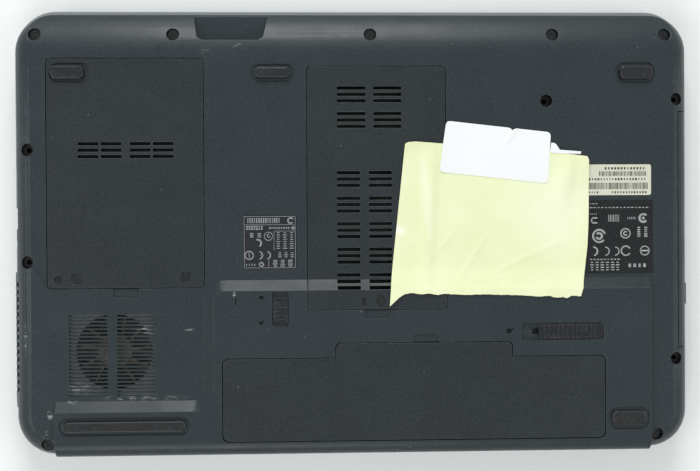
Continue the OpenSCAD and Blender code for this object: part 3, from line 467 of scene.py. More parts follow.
@dataclass(frozen=True)
class Paper(Finish):
    """Paper: matte, with fibre clouds and paler patches.

    Attributes:
        pale: Colour of the pale patches.
        patches: Where it is palest.
    """

    pale: str = "fbfce8"
    patches: tuple[Scuff, ...] = ()

    def colour_nodes(self, tree: bpy.types.NodeTree, place: Any) -> Any:
        """Returns the colour: fibre clouds, fine tooth and pale patches."""
        base = super().colour_nodes(tree, place)
        tooth = self.ramp(tree, self.cloud(tree, place, 1.1, 4.0), 0.35, 0.7, (0, 0.3))
        base = self.blend(tree, tooth, base, self.mottle or self.colour)
        for patch in self.patches:
            inside = self.ramp(tree, self.reach(tree, place, patch), 0.3, 1.0, (patch.strength, 0))
            base = self.blend(tree, inside, base, self.pale)
        return base


@dataclass(frozen=True)
class CircuitBoard(Finish):
    """Glass-fibre board under green lacquer: glossy, with copper tracks that show through as paler lines."""

    def colour_nodes(self, tree: bpy.types.NodeTree, place: Any) -> Any:
        """Returns the colour: lacquer with tracks 0.8 mm apart and round pads."""
        base = super().colour_nodes(tree, place)
        tracks = add_node(
            tree,
            "ShaderNodeTexBrick",
            {"Scale": 1.0, "Mortar Size": 0.12, "Brick Width": 9.0, "Row Height": 0.9, "offset": 0.37},
            {"Vector": add_node(tree, "ShaderNodeMapping", {"Scale": (1000, 1000, 1000)}, {"Vector": place})},
        )
        base = self.blend(tree, self.product(tree, tracks.outputs["Fac"], 0.3), base, "37634a")
        pads = add_node(tree, "ShaderNodeTexVoronoi", {"Scale": 1 / (5 * MM)}, {"Vector": place})
        dots = self.ramp(tree, pads.outputs["Distance"], 0.09, 0.11, (0.5, 0))
        return self.blend(tree, dots, base, "6f654a")


@dataclass(frozen=True)
class SmudgedGlass(Finish):
    """Smooth dark glass or acrylic: mirror gloss, with finger smudges that dull it."""

    def roughness_nodes(self, tree: bpy.types.NodeTree, place: Any) -> Any:
        """Returns the roughness: clean, with smudged patches."""
        smudge = self.cloud(tree, place, 22, 4.0)
        return self.ramp(tree, smudge, 0.5, 0.7, (self.roughness, self.roughness + 0.1))


# ---------------------------------------------------------------- mesh tools


def plain_object(name: str, mesh: bpy.types.Mesh) -> bpy.types.Object:
    """Links a mesh to the scene as an object at the origin."""
    made = bpy.data.objects.new(name, mesh)
    bpy.context.scene.collection.objects.link(made)
    return made


def object_from_bmesh(name: str, shape: bmesh.types.BMesh) -> bpy.types.Object:
    """Turns a bmesh into a linked object and frees the bmesh."""
    mesh = bpy.data.meshes.new(name)
    shape.to_mesh(mesh)
    shape.free()
    return plain_object(name, mesh)


def settle(obj: bpy.types.Object) -> bpy.types.Object:
    """Applies an object's modifiers to a plain mesh and removes them.

    Args:
        obj: The object, with its modifiers set.

    Returns:
        The same object, with no modifier.
    """
    graph = bpy.context.evaluated_depsgraph_get()
    graph.update()
    mesh = bpy.data.meshes.new_from_object(obj.evaluated_get(graph), depsgraph=graph)
    mesh.name = obj.name
    obj.modifiers.clear()
    obj.data = mesh
    return obj


def shade_by_angle(obj: bpy.types.Object, degrees: float = 32.0) -> None:
    """Shades an object smooth, with a sharp line wherever it turns further than the angle."""
    obj.data.shade_smooth()
    obj.data.set_sharp_from_angle(angle=math.radians(degrees))


def round_edges(obj: bpy.types.Object, round_mm: float, steps: int) -> bpy.types.Object:
    """Rounds an object's sharp edges.

    Args:
        obj: The object, shaded by angle.
        round_mm: Width of the rounding.
        steps: Segments of the rounding.

    Returns:
        The same object, with a plain mesh.
    """
    bevel = obj.modifiers.new("edge_rounding", "BEVEL")
    bevel.width = round_mm * MM
    bevel.segments = steps
    bevel.limit_method = "ANGLE"
    bevel.angle_limit = math.radians(ROUND_FROM)
    bevel.use_clamp_overlap = False
    points = [point.co.copy() for point in obj.data.vertices]
    before = BVHTree.FromPolygons(points, [tuple(face.vertices) for face in obj.data.polygons])
    settle(obj)
    pull_back(obj, before, STRAY_SHARE * round_mm * MM)
    unfold(obj)
    return obj


def pull_back(obj: bpy.types.Object, before: BVHTree, reach: float) -> None:
    """Puts the points that a rounding has thrown off the surface back on it.

    Args:
        obj: The rounded object.
        before: The surface before it was rounded.
        reach: How far below that surface a sound point may lie, in metres; above it, half as far.
    """
    for point in obj.data.vertices:
        nearest, normal, _, distance = before.find_nearest(point.co)
        if nearest is None:
            continue
        above = (point.co - nearest).dot(normal) > 0
        if distance > (0.5 * reach if above else reach):
            point.co = nearest
    obj.data.update()


def is_folded(edge: bmesh.types.BMEdge) -> bool:
    """Tells whether one of an edge's two faces has folded over the other."""
    faces = edge.link_faces
    return len(faces) == 2 and faces[0].normal.dot(faces[1].normal) < FOLDED_BELOW


def turning_helps(edge: bmesh.types.BMEdge) -> bool:
    """Tells whether an edge between two triangles is better turned, where one has folded over the other.

    Args:
        edge: The edge, with two triangles.

    Returns:
        True if it is the thin one's longest side, or if turning it leaves less area upside down.
    """
    small, large = sorted(edge.link_faces, key=lambda face: face.calc_area())
    if edge.calc_length() >= max(side.calc_length() for side in small.edges) - 1e-9:
        return True
    one, other = edge.link_loops
    start, end = one.vert.co, one.link_loop_next.vert.co
    left, right = one.link_loop_prev.vert.co, other.link_loop_prev.vert.co
    fresh = ((start - left).cross(right - left), (end - right).cross(left - right))
    upside_down = sum(max(0.0, -turned.dot(large.normal)) for turned in fresh) / 2
    return upside_down < 0.5 * small.calc_area()


def mend_fold(shape: bmesh.types.BMesh, edge: bmesh.types.BMEdge) -> bool:
    """Turns a folded edge, or takes out the loose corner of a fold whose edge can't be turned.

    Args:
        shape: The mesh, in triangles.
        edge: An edge that was folded when this pass began.

    Returns:
        Whether the mesh has changed.
    """
    if not edge.is_valid or len(edge.link_faces) != 2:
        return False
    across = [point for face in edge.link_faces for point in face.verts if point not in edge.verts]
    if len(across) != 2:
        return False
    if shape.edges.get(across) is not None:
        loose = [point for point in edge.verts if len(point.link_edges) == 3]
        bmesh.ops.dissolve_verts(shape, verts=loose[:1])
        return bool(loose)
    fresh = bmesh.utils.edge_rotate(edge, False) if turning_helps(edge) else None
    for face in fresh.link_faces if fresh else ():
        face.normal_update()
    return fresh is not None


def unfold(obj: bpy.types.Object) -> None:
    """Mends the thin faces that a rounding has folded over their neighbours.

    Args:
        obj: The object, with a plain mesh, which ends up in triangles.
    """
    shape = bmesh.new()
    shape.from_mesh(obj.data)
    bmesh.ops.triangulate(shape, faces=shape.faces[:])
    for _ in range(UNFOLD_PASSES):
        folded = [edge for edge in shape.edges if is_folded(edge)]
        if not sum(mend_fold(shape, edge) for edge in folded):
            break
    bmesh.ops.triangulate(shape, faces=[face for face in shape.faces if len(face.verts) > 3])
    shape.to_mesh(obj.data)
    shape.free()
    obj.data.validate()


@dataclass(frozen=True)
class Patches:
    """A mesh's flat areas, each of which may be many faces.

    Attributes:
        normal: Each face's normal.
        face: The face of each loop.
        vertex: The vertex of each loop.
        whole: The area of the flat area that each face is in.
        width: The mean width of that flat area.
        sound: Whether each face has any area.
    """

    normal: np.ndarray
    face: np.ndarray
    vertex: np.ndarray
    whole: np.ndarray
    width: np.ndarray
    sound: np.ndarray

    @classmethod
    def of(cls, mesh: bpy.types.Mesh) -> "Patches":
        """Finds the flat areas of a mesh.

        Args:
            mesh: The mesh.

        Returns:
            The flat areas.
        """
        faces, loops = len(mesh.polygons), len(mesh.loops)
        area, normal = np.zeros(faces), np.zeros(faces * 3)
        total = np.zeros(faces, dtype=np.int64)
        mesh.polygons.foreach_get("area", area)
        mesh.polygons.foreach_get("normal", normal)
        mesh.polygons.foreach_get("loop_total", total)
        normal = normal.reshape(-1, 3)
        vertex, edge = np.zeros(loops, dtype=np.int64), np.zeros(loops, dtype=np.int64)
        mesh.loops.foreach_get("vertex_index", vertex)
        mesh.loops.foreach_get("edge_index", edge)
        face = np.repeat(np.arange(faces), total)
        order = np.argsort(edge, kind="stable")
        same = np.flatnonzero(edge[order][1:] == edge[order][:-1])
        first, second = face[order[same]], face[order[same + 1]]
        ends = np.zeros(len(mesh.edges) * 2, dtype=np.int64)
        places = np.zeros(len(mesh.vertices) * 3)
        mesh.edges.foreach_get("vertices", ends)
        mesh.vertices.foreach_get("co", places)
        span = np.diff(places.reshape(-1, 3)[ends.reshape(-1, 2)], axis=1)[:, 0]
        length = np.linalg.norm(span, axis=1)[edge[order[same]]]
        sides = (first, second)
        lean = np.einsum("ij,ij->i", normal[first], normal[second])
        level = lean > math.cos(math.radians(LEVEL_WITHIN))
        first, second = first[level], second[level]
        patch = np.arange(faces)
        for _ in range(200):
            before = patch.copy()
            lowest = np.minimum(patch[first], patch[second])
            np.minimum.at(patch, first, lowest)
            np.minimum.at(patch, second, lowest)
            patch = patch[patch]
            if np.array_equal(before, patch):
                break
        whole = np.bincount(patch, area, minlength=faces)
        border = patch[sides[0]] != patch[sides[1]]
        rim = sum(np.bincount(patch[side][border], length[border], minlength=faces) for side in sides)
        width = 2 * whole / np.maximum(rim, 1e-9)
        return cls(normal, face, vertex, whole[patch], width[patch], area > 1e-12)


def keep_flats_flat(obj: bpy.types.Object) -> None:
    """Sets normals so that flat areas shade flat and only roundings and curves shade smooth.

    Each flat area counts by its whole area at the points that it shares.

    Args:
        obj: The object, with a plain mesh.
    """
    mesh = obj.data
    flats = Patches.of(mesh)
    own, whole = flats.normal[flats.face], flats.whole[flats.face]
    summed = np.zeros((len(mesh.vertices), 3))
    np.add.at(summed, flats.vertex, own * (whole**2)[:, None])
    summed /= np.maximum(np.linalg.norm(summed, axis=1), 1e-30)[:, None]
    chosen = summed[flats.vertex]
    lean = np.where(whole > FLAT_FROM * MM * MM, FLAT_LEAN, CURVE_LEAN)
    limit = np.cos(np.radians(lean))
    turned = (np.einsum("ij,ij->i", chosen, own) < limit) & flats.sound[flats.face]
    chosen[turned] = own[turned]
    mesh.shade_smooth()
    mesh.normals_split_custom_set(chosen.tolist())


def mark_edge_wear(obj: bpy.types.Object) -> None:
    """Stores edge_wear on face corners: 0 on flat and hollow places, up to 1 on outward edges.

    Args:
        obj: The object, with a plain mesh.
    """
    mesh = obj.data
    count = len(mesh.vertices)
    places, normals = np.zeros(count * 3), np.zeros(count * 3)
    mesh.vertices.foreach_get("co", places)
    mesh.vertices.foreach_get("normal", normals)
    places, normals = places.reshape(-1, 3), normals.reshape(-1, 3)
    pairs = np.zeros(len(mesh.edges) * 2, dtype=np.int64)
    mesh.edges.foreach_get("vertices", pairs)
    pairs = pairs.reshape(-1, 2)
    total, joined = np.zeros(count), np.zeros(count)
    for a, b in ((0, 1), (1, 0)):
        away = places[pairs[:, a]] - places[pairs[:, b]]
        length = np.linalg.norm(away, axis=1)
        lean = np.einsum("ij,ij->i", away, normals[pairs[:, a]]) / np.maximum(length, 1e-9)
        np.add.at(total, pairs[:, a], lean)
        np.add.at(joined, pairs[:, a], 1)
    worn = np.clip(total / np.maximum(joined, 1) * WEAR_GAIN, 0, 1)
    flats = Patches.of(mesh)
    narrow = flats.width[flats.face] < STRIP_BELOW * MM
    layer = mesh.attributes.new("edge_wear", "FLOAT", "CORNER")
    layer.data.foreach_set("value", np.where(narrow, worn[flats.vertex], 0).astype(np.float32))


def dressed(obj: bpy.types.Object, finish: Finish) -> bpy.types.Object:
    """Gives an object one finish."""
    obj.data.materials.clear()
    obj.data.materials.append(finish.material())
    return obj


def sheet_on(
    name: str,
    outline: Sequence[Point],
    height: Height,
    thickness: float,
    rings: int = 24,
    centre: Point | None = None,
) -> bpy.types.Object:
    """Makes a thin closed sheet that follows a height over the laptop.

    Args:
        name: The object's name.
        outline: The sheet's edge in plan, in mm, anticlockwise.
        height: Gives the underside's height in mm at a place in mm.
        thickness: Thickness in mm.
        rings: Rings of faces between the middle and the edge.
        centre: A point that the whole edge is seen from, or None for the mean.

    Returns:
        The sheet, smooth and closed.
    """
    edge = np.array(outline, float)
    middle = edge.mean(axis=0) if centre is None else np.array(centre, float)
    shape = bmesh.new()
    layers = []
    for lift in (0.0, thickness):
        loops = []
        for ring in range(1, rings + 1):
            share = (ring / rings) ** 0.9
            spots = middle + (edge - middle) * share
            loops.append([shape.verts.new((x * MM, y * MM, (height(x, y) + lift) * MM)) for x, y in spots])
        hub = shape.verts.new((middle[0] * MM, middle[1] * MM, (height(*middle) + lift) * MM))
        layers.append((hub, loops))
    count = len(edge)
    for side, (hub, loops) in enumerate(layers):
        for i in range(count):
            j = (i + 1) % count
            fan = (hub, loops[0][i], loops[0][j])
            shape.faces.new(fan if side else fan[::-1])
            for inner, outer in zip(loops, loops[1:]):
                quad = (inner[i], outer[i], outer[j], inner[j])
                shape.faces.new(quad if side else quad[::-1])
    low, high = layers[0][1][-1], layers[1][1][-1]
    for i in range(count):
        j = (i + 1) % count
        shape.faces.new((low[i], low[j], high[j], high[i]))
    made = object_from_bmesh(name, shape)
    shade_by_angle(made, 50)
    return made


def resampled(corners: Sequence[Point], step: float) -> list[Point]:
    """Returns a closed outline with a point about every step mm along its straight sides."""
    points: list[Point] = []
    for (x0, y0), (x1, y1) in zip(corners, [*corners[1:], corners[0]]):
        parts = max(1, round(math.dist((x0, y0), (x1, y1)) / step))
        points += [(x0 + (x1 - x0) * i / parts, y0 + (y1 - y0) * i / parts) for i in range(parts)]
    return points


def rounded_outline(corners: Sequence[Point], radius: float, step: float = 2.0) -> list[Point]:
    """Returns the outline of a four-sided sheet with round corners, anticlockwise."""
    points: list[Point] = []
    count = len(corners)
    for i, corner in enumerate(corners):
        here = Vector(corner)
        before = (Vector(corners[i - 1]) - here).normalized()
        after = (Vector(corners[(i + 1) % count]) - here).normalized()
        start, end = here + before * radius, here + after * radius
        for k in range(6):
            t = k / 5
            spot = start * (1 - t) ** 2 + here * 2 * t * (1 - t) + end * t * t
            points.append((spot.x, spot.y))
    return resampled(points, step)


def flat_prism(shape: bmesh.types.BMesh, outline: Sequence[Point], z0: float, z1: float) -> None:
    """Adds a flat closed prism over an outline in mm, anticlockwise, to a bmesh."""
    low = [shape.verts.new((x * MM, y * MM, z0 * MM)) for x, y in outline]
    high = [shape.verts.new((x * MM, y * MM, z1 * MM)) for x, y in outline]
    shape.faces.new(low[::-1])
    shape.faces.new(high)
    for i in range(len(outline)):
        j = (i + 1) % len(outline)
        shape.faces.new((low[i], low[j], high[j], high[i]))


def arc_band(
    centre: Point, outer: float, inner: float, start: float, sweep: float, parts: int = 20
) -> list[Point]:
    """Returns the outline of a bent band, in mm and degrees, anticlockwise."""
    angles = [math.radians(start + sweep * i / parts) for i in range(parts + 1)]
    edge = [(centre[0] + outer * math.cos(a), centre[1] + outer * math.sin(a)) for a in angles]
    back = [(centre[0] + inner * math.cos(a), centre[1] + inner * math.sin(a)) for a in reversed(angles)]
    return edge + back


def box_outline(x0: float, y0: float, x1: float, y1: float) -> list[Point]:
    """Returns a rectangle's outline, anticlockwise."""
    return [(x0, y0), (x1, y0), (x1, y1), (x0, y1)]


# ---------------------------------------------------------------- bench


class Bench:
    """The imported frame, and the moves that turn its nodes into finished pieces."""

    def __init__(self, frame: dict[str, Any]) -> None:
        """Reads which body and which material slot each node has.
        """
        record = frame["record"]
        self.nodes: dict[str, bpy.types.Object] = frame["nodes"]
        self.body = {n: b for b, group in record["behaviour"]["bodies"].items() for n in group}
        self.slot = {s["node"]: s["material_slot"] for s in record["subparts"]}

    def box_mm(self, node: str) -> tuple[Vector, Vector]:
        """Returns a node's lowest and highest corner in mm."""
        low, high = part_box(node)
        return low / MM, high / MM

    def merged(self, node: str, name: str) -> bpy.types.Object:
        """Copies a node's mesh with its points merged.

        Args:
            node: The CAD node.
            name: Name of the copy.

        Returns:
            The copy, at the origin.
        """
        shape = bmesh.new()
        shape.from_mesh(self.nodes[node].data)
        bmesh.ops.remove_doubles(shape, verts=shape.verts[:], dist=0.002 * MM)
        bmesh.ops.dissolve_degenerate(shape, edges=shape.edges[:], dist=0.001 * MM)
        return object_from_bmesh(name, shape)

    def finish(self, node: str, finish: Finish, round_mm: float = 0.2, steps: int = 2) -> bpy.types.Object:
        """Rounds a node's edges and dresses it. The new piece stands for the node.

        Args:
            node: The CAD node.
            finish: Its finish.
            round_mm: Width of the rounding.
            steps: Segments of the rounding.

        Returns:
            The finished piece.
        """
        piece = self.merged(node, f"{node}_finished")
        shade_by_angle(piece)
        if round_mm > 0:
            round_edges(piece, round_mm, steps)
            keep_flats_flat(piece)
        return self.hand_over(piece, finish, node)

    def hand_over(self, piece: bpy.types.Object, finish: Finish, node: str) -> bpy.types.Object:
        """Dresses a piece that stands for a node, on that node's body."""
        mark_edge_wear(piece)
        dressed(piece, finish)
        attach(piece, self.body[node])
        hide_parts(node)
        LOG.info("%s: %d faces", piece.name, len(piece.data.polygons))
        return piece

    def add(self, piece: bpy.types.Object, finish: Finish, body: str, slot: str) -> bpy.types.Object:
        """Dresses a piece that has no node of its own and lets it ride on a body."""
        dressed(piece, finish)
        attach(piece, body)
        LOG.info("%s: %d faces", piece.name, len(piece.data.polygons))
        return piece


# ---------------------------------------------------------------- repeated pieces


class Repeat:
    """Geometry Nodes trees for what repeats, each with named inputs and a fixed seed."""

    @staticmethod
    def tree(name: str, inputs: Sequence[tuple[str, str, Any]]) -> tuple[Any, Any, Any]:
        """Starts a tree.

        Args:
            name: The tree's name.
            inputs: Name, socket type and default value of each input.

        Returns:
            The tree, its input node and its output node.
        """
        tree = bpy.data.node_groups.new(name, "GeometryNodeTree")
        tree.interface.new_socket("Geometry", in_out="INPUT", socket_type="NodeSocketGeometry")
        for label, kind, value in inputs:
            made = tree.interface.new_socket(label, in_out="INPUT", socket_type=kind)
            if value is not None:
                made.default_value = value
        tree.interface.new_socket("Geometry", in_out="OUTPUT", socket_type="NodeSocketGeometry")
        return tree, add_node(tree, "NodeGroupInput"), add_node(tree, "NodeGroupOutput")

    @staticmethod
    def run(obj: bpy.types.Object, tree: Any, values: dict[str, Any]) -> bpy.types.Object:
        """Runs a tree on an object and leaves a plain mesh.

        Args:
            obj: The object that the tree starts from.
            tree: The node tree.
            values: Input name to value.

        Returns:
            The same object with the result as its mesh.
        """
        modifier = obj.modifiers.new(tree.name, "NODES")
        modifier.node_group = tree
        ids = {i.name: i.identifier for i in tree.interface.items_tree if i.in_out == "INPUT"}
        for label, value in values.items():
            modifier[ids[label]] = value
        obj.update_tag()
        return settle(obj)

    @classmethod
    def print_tree(cls) -> Any:
        """Returns the tree that lays rows of short printed bars of uneven length."""
        found = bpy.data.node_groups.get("printed_bars")
        if found:
            return found
        tree, given, result = cls.tree(
            "printed_bars",
            [
                ("Width", "NodeSocketFloat", 0.02),
                ("Height", "NodeSocketFloat", 0.005),
                ("Columns", "NodeSocketInt", 6),
                ("Rows", "NodeSocketInt", 3),
                ("Bar Height", "NodeSocketFloat", 0.0006),
                ("Shortest", "NodeSocketFloat", 0.4),
                ("Longest", "NodeSocketFloat", 0.95),
                ("Ink", "NodeSocketFloat", 0.00003),
                ("Place", "NodeSocketVector", (0, 0, 0)),
                ("Seed", "NodeSocketInt", 1),
                ("Material", "NodeSocketMaterial", None),
            ],
        )
        grid = add_node(
            tree,
            "GeometryNodeMeshGrid",
            links={
                "Size X": given.outputs["Width"],
                "Size Y": given.outputs["Height"],
                "Vertices X": given.outputs["Columns"],
                "Vertices Y": given.outputs["Rows"],
            },
        )
        cell = add_node(
            tree,
            "ShaderNodeMath",
            {"operation": "DIVIDE"},
            {0: given.outputs["Width"], 1: given.outputs["Columns"]},
        )
        share = add_node(
            tree,
            "FunctionNodeRandomValue",
            {"data_type": "FLOAT"},
            {
                "Min_001": given.outputs["Shortest"],
                "Max_001": given.outputs["Longest"],
                "Seed": given.outputs["Seed"],
            },
        )
        length = add_node(
            tree,
            "ShaderNodeMath",
            {"operation": "MULTIPLY"},
            {0: cell, 1: socket_of(share.outputs, "Value_001")},
        )
        size = add_node(
            tree,
            "ShaderNodeCombineXYZ",
            links={"X": length, "Y": given.outputs["Bar Height"], "Z": given.outputs["Ink"]},
        )
        bar = add_node(tree, "GeometryNodeMeshCube", {"Size": (1, 1, 1)})
        bars = add_node(
            tree,
            "GeometryNodeInstanceOnPoints",
            links={"Points": grid.outputs["Mesh"], "Instance": bar.outputs["Mesh"], "Scale": size},
        )
        real = add_node(tree, "GeometryNodeRealizeInstances", links={"Geometry": bars})
        moved = add_node(
            tree, "GeometryNodeTransform", links={"Geometry": real, "Translation": given.outputs["Place"]}
        )
        inked = add_node(
            tree, "GeometryNodeSetMaterial", links={"Geometry": moved, "Material": given.outputs["Material"]}
        )
        tree.links.new(inked.outputs[0], result.inputs[0])
        return tree

    @classmethod
    def print_block(cls, name: str, block: "PrintBlock", top: float, finish: Finish) -> bpy.types.Object:
        """Makes one block of printed bars.

        Args:
            name: The object's name.
            block: Its place and sizes in mm.
            top: Height in mm of the surface that it is printed on.
            finish: The ink.

        Returns:
            The bars as one mesh.
        """
        empty = plain_object(name, bpy.data.meshes.new(name))
        x0, y0, x1, y1 = block.area
        last = 1 / block.columns if block.columns > 1 else 0.0
        return cls.run(
            empty,
            cls.print_tree(),
            {
                "Width": (x1 - x0) * MM * (1 - last),
                "Height": (y1 - y0 - block.bar) * MM if block.rows > 1 else 0.1 * MM,
                "Columns": block.columns,
                "Rows": block.rows,
                "Bar Height": block.bar * MM,
                "Shortest": block.shortest,
                "Longest": block.longest,
                "Ink": INK_MM * MM,
                "Place": ((x0 + x1) / 2 * MM, (y0 + y1) / 2 * MM, (top + 0.01) * MM),
                "Seed": block.seed,
                "Material": finish.material(),
            },
        )

    @classmethod
    def scatter_tree(cls) -> Any:
        """Returns the tree that stands one shape on each point, with a seeded turn about the upright."""
        found = bpy.data.node_groups.get("stood_on_points")
        if found:
            return found
        tree, given, result = cls.tree(
            "stood_on_points",
            [
                ("Shape", "NodeSocketObject", None),
                ("Turn", "NodeSocketFloat", 3.14),
                ("Seed", "NodeSocketInt", 4),
                ("Material", "NodeSocketMaterial", None),
            ],
        )
        shape = add_node(tree, "GeometryNodeObjectInfo", links={"Object": given.outputs["Shape"]})
        turn = add_node(
            tree,
            "FunctionNodeRandomValue",
            {"data_type": "FLOAT", "Min_001": 0.0},
            {"Max_001": given.outputs["Turn"], "Seed": given.outputs["Seed"]},
        )
        upright = add_node(tree, "ShaderNodeCombineXYZ", links={"Z": socket_of(turn.outputs, "Value_001")})
        stood = add_node(
            tree,
            "GeometryNodeInstanceOnPoints",
            links={
                "Points": given.outputs["Geometry"],
                "Instance": shape.outputs["Geometry"],
                "Rotation": upright,
            },
        )
        real = add_node(tree, "GeometryNodeRealizeInstances", links={"Geometry": stood})
        painted = add_node(
            tree, "GeometryNodeSetMaterial", links={"Geometry": real, "Material": given.outputs["Material"]}
        )
        tree.links.new(painted.outputs[0], result.inputs[0])
        return tree


@dataclass(frozen=True)
class PrintBlock:
    """A block of printed bars that stands for lines of print or a bar code.

    Attributes:
        area: x0, y0, x1 and y1 in mm.
        columns: Bars along a row.
        rows: Rows.
        bar: Height of a bar in mm.
        shortest: Shortest bar, as a share of its cell.
        longest: Longest bar, as a share of its cell.
        seed: Seed of the uneven lengths.
    """

    area: tuple[float, float, float, float]
    columns: int
    rows: int
    bar: float
    shortest: float = 0.45
    longest: float = 0.95
    seed: int = 1


# ---------------------------------------------------------------- finishes of this laptop

# Scratches, chips and rubbed places of the case
SCUFFS = (
    Scuff(-183.7, -58, 1.2, 11, 0, 0.5),
    Scuff(-171.9, -110.5, 1.6, 1.9, 20, 1.0),
    Scuff(-170.2, -100.2, 1.8, 3.4, 10, 0.9),
    Scuff(-158, -93.2, 3.4, 1.4, 8, 0.8),
    Scuff(-92.6, -53.5, 4.5, 1.0, 4, 0.35),
    Scuff(-65.4, 104.9, 4.0, 0.7, 24, 0.28),
    Scuff(-82, 101, 5.0, 3.0, 0, 0.1),
    Scuff(-153, -85.5, 7.5, 5.5, 0, 0.55),
    Scuff(-118, -53.5, 7.0, 4.0, 0, 0.5),
    Scuff(-128, -91.5, 9.0, 1.0, 0, 0.4),
    Scuff(-120, -91.0, 30.0, 2.0, 0, 0.25),
    Scuff(-67.7, -33.9, 1.0, 2.2, 0, 1.4),
)

# ABS moulded in a spark-eroded tool: an even fine pebble that scatters light, so it looks dark and dry
CASE_ABS = MouldedAbs(
    "abs_moulded_case", "1f292d", "232d31", 40, 0.34, 0.8, 0.02, specular=0.25, scuffs=SCUFFS
)
# The same ABS from another tool, a shade less green
COVER_ABS = MouldedAbs("abs_moulded_covers", "1b2226", "1f262a", 34, 0.34, 0.8, 0.02, specular=0.25)
# The battery's ABS, with a slightly shallower pebble
BATTERY_ABS = MouldedAbs("abs_moulded_battery", "1b2225", "1e2529", 34, 0.34, 0.8, 0.018, specular=0.25)
# ABS with a metallic grey lacquer: smoother and paler, seen at the front lip and on the deck
DECK_ABS = MouldedAbs(
    "abs_lacquered_deck", "8a9293", "909899", 60, 0.42, 0.5, 0.008, wear=Wear.FRESH, specks=0.4
)
# High-gloss ABS: a dark mirror
LID_ABS = MouldedAbs("abs_gloss_lid", "1f2427", "22282b", 70, 0.16, 0.5, 0.002, wear=Wear.FRESH, specks=0.5)
# Acetal sliders: a little glossier than the case, polished by thumbs; the pale rubbed colour on their rib
# edges is wear and also painted highlight that makes the ribs read lighter than their grooves
SLIDER_ACETAL = MouldedAbs(
    "acetal_moulded_sliders",
    "101315",
    "15181a",
    12,
    0.3,
    0.6,
    0.01,
    specular=0.22,
    rubbed="9aa0a2",
    wear=Wear.SCUFFED,
)
# Key caps of PBT: a satin face
KEY_PBT = MouldedAbs(
    "pbt_moulded_keys", "15171a", "1a1c1f", 20, 0.45, 0.5, 0.01, specular=0.4, wear=Wear.FRESH, specks=0.3
)
# The touchpad's satin lacquer, darker than the deck round it
TOUCH_ABS = MouldedAbs(
    "abs_satin_touchpad", "5c6365", "62696b", 30, 0.38, 0.5, 0.006, wear=Wear.FRESH, specks=0.2
)
# Polished buttons: glossier than the deck
BUTTON_ABS = MouldedAbs(
    "abs_polished_buttons", "8a9092", "90979a", 20, 0.25, 0.5, 0.002, wear=Wear.FRESH, specks=0.2
)
# Black PBT inside the case: plain and dull, with dust in its grain
FAN_PLASTIC = MouldedAbs(
    "pbt_moulded_black", "1b1d1f", "222426", 14, 0.5, 0.6, 0.02, specular=0.4, wear=Wear.FRESH, specks=0.6
)
# Fan blades under a grey-brown felt of dust: no gloss at all, soft lumps; the colour is raised well above the
# dust's own as painted light, so the blades read lit inside the shaded fan
DUSTY_BLADES_PAINTED_LIGHT = Finish("pbt_under_felted_dust", "a39a8b", "bab09f", 5, 0.95, 1.1, 0.2, specular=0.1)
# The fan's housing under a thinner, greyer dust, its colour raised as painted light so it reads lit below the
# shaded grille
DUSTY_HOUSING_PAINTED_LIGHT = Finish("pbt_under_thin_dust", "8b8f8f", "9a9c98", 8, 0.9, 1.0, 0.08, specular=0.15)
# Die-cast drive painted near black as shade, so that the vents over it read black
DRIVE_BLACK_PAINTED_SHADE = Finish("aluminium_cast_black_film", "0c0d0e", "111213", 12, 0.6, 0.5, 0.006, specular=0.12)
# Moulded rubber feet: black, with a soft sheen on the crown
FOOT_RUBBER = WornRubber("rubber_moulded_feet", "0a0c0e", "101315", 9, 0.34, 0.7, 0.02, specular=0.34)
# Steel screws in black oxide: near black, with bright nicks at the cross
SCREW_STEEL = CoatedSteel("steel_black_oxide", "0d0f11", "131517", 2, 0.35, 0.5, 0.01, specular=0.3)
# Steel sheet under a satin black paint
PLATE_STEEL = CoatedSteel("steel_painted_black", "1a1c1e", "1f2224", 14, 0.5, 0.5, 0.008, specular=0.3)
# Sheet steel, cold rolled and stamped: bright, with fine lines one way
SHEET_STEEL = BrushedMetal("steel_rolled_sheet", "9b9ea0", "8d9092", 18, 0.34, 0.5, 0.006, metallic=1.0)
# Zinc-plated steel, darkened as painted shade so that the slot over it reads black
DRIVE_SHELL_DARKENED_AS_SHADE = BrushedMetal("steel_zinc_plated_dull", "46494b", "3c3f41", 18, 0.5, 0.5, 0.004, metallic=1.0)
# Bare extruded aluminium: pale, with lines along the laptop's depth
BARE_ALUMINIUM = BrushedMetal(
    "aluminium_extruded", "aeb2b5", "9fa4a7", 12, 0.32, 0.4, 0.005, metallic=1.0, along=1
)
# Drawn copper with a thin brown tarnish
BARE_COPPER = BrushedMetal("copper_drawn_tarnished", "b9714a", "8a5236", 9, 0.3, 0.4, 0.004, metallic=1.0)
# Glass-fibre board under dark green lacquer: paler tracks and small round pads; the lacquer is darkened near
# black as painted shade, so the boards read dark through the vents
BOARD_DARKENED_AS_SHADE = CircuitBoard(
    "glass_fibre_lacquered_board", "0d1d15", "11251a", 25, 0.36, 0.6, 0.01, specular=0.15
)
# Polarising film over the screen's glass: near black and smooth, dulled by fingers
SCREEN_GLASS = SmudgedGlass("screen_film_over_glass", "0b0d10", "0e1013", 50, 0.12, 0.3, 0.001)
# Moulded acrylic lens: black and glossy
LENS = SmudgedGlass("lens_acrylic", "08090b", "0b0c10", 5, 0.08, 0.3, 0.001, specular=0.6)
# Printed polyester film: dark, faintly satin
FILM_DARK = MouldedAbs(
    "polyester_film_dark", "17191b", "1a1d1f", 12, 0.42, 0.6, 0.006, specular=0.2, wear=Wear.FRESH, specks=0.2
)
# The same film in black, a little duller
FILM_BLACK = MouldedAbs(
    "polyester_film_black", "0c0e10", "101214", 14, 0.45, 0.6, 0.006,
    specular=0.2, wear=Wear.FRESH, specks=0.3,
)
# Paper label stock, gone beige
FILM_BEIGE = Finish("paper_film_beige", "cfd0bb", "d8d8c6", 9, 0.6, 0.6, 0.01, specular=0.3)
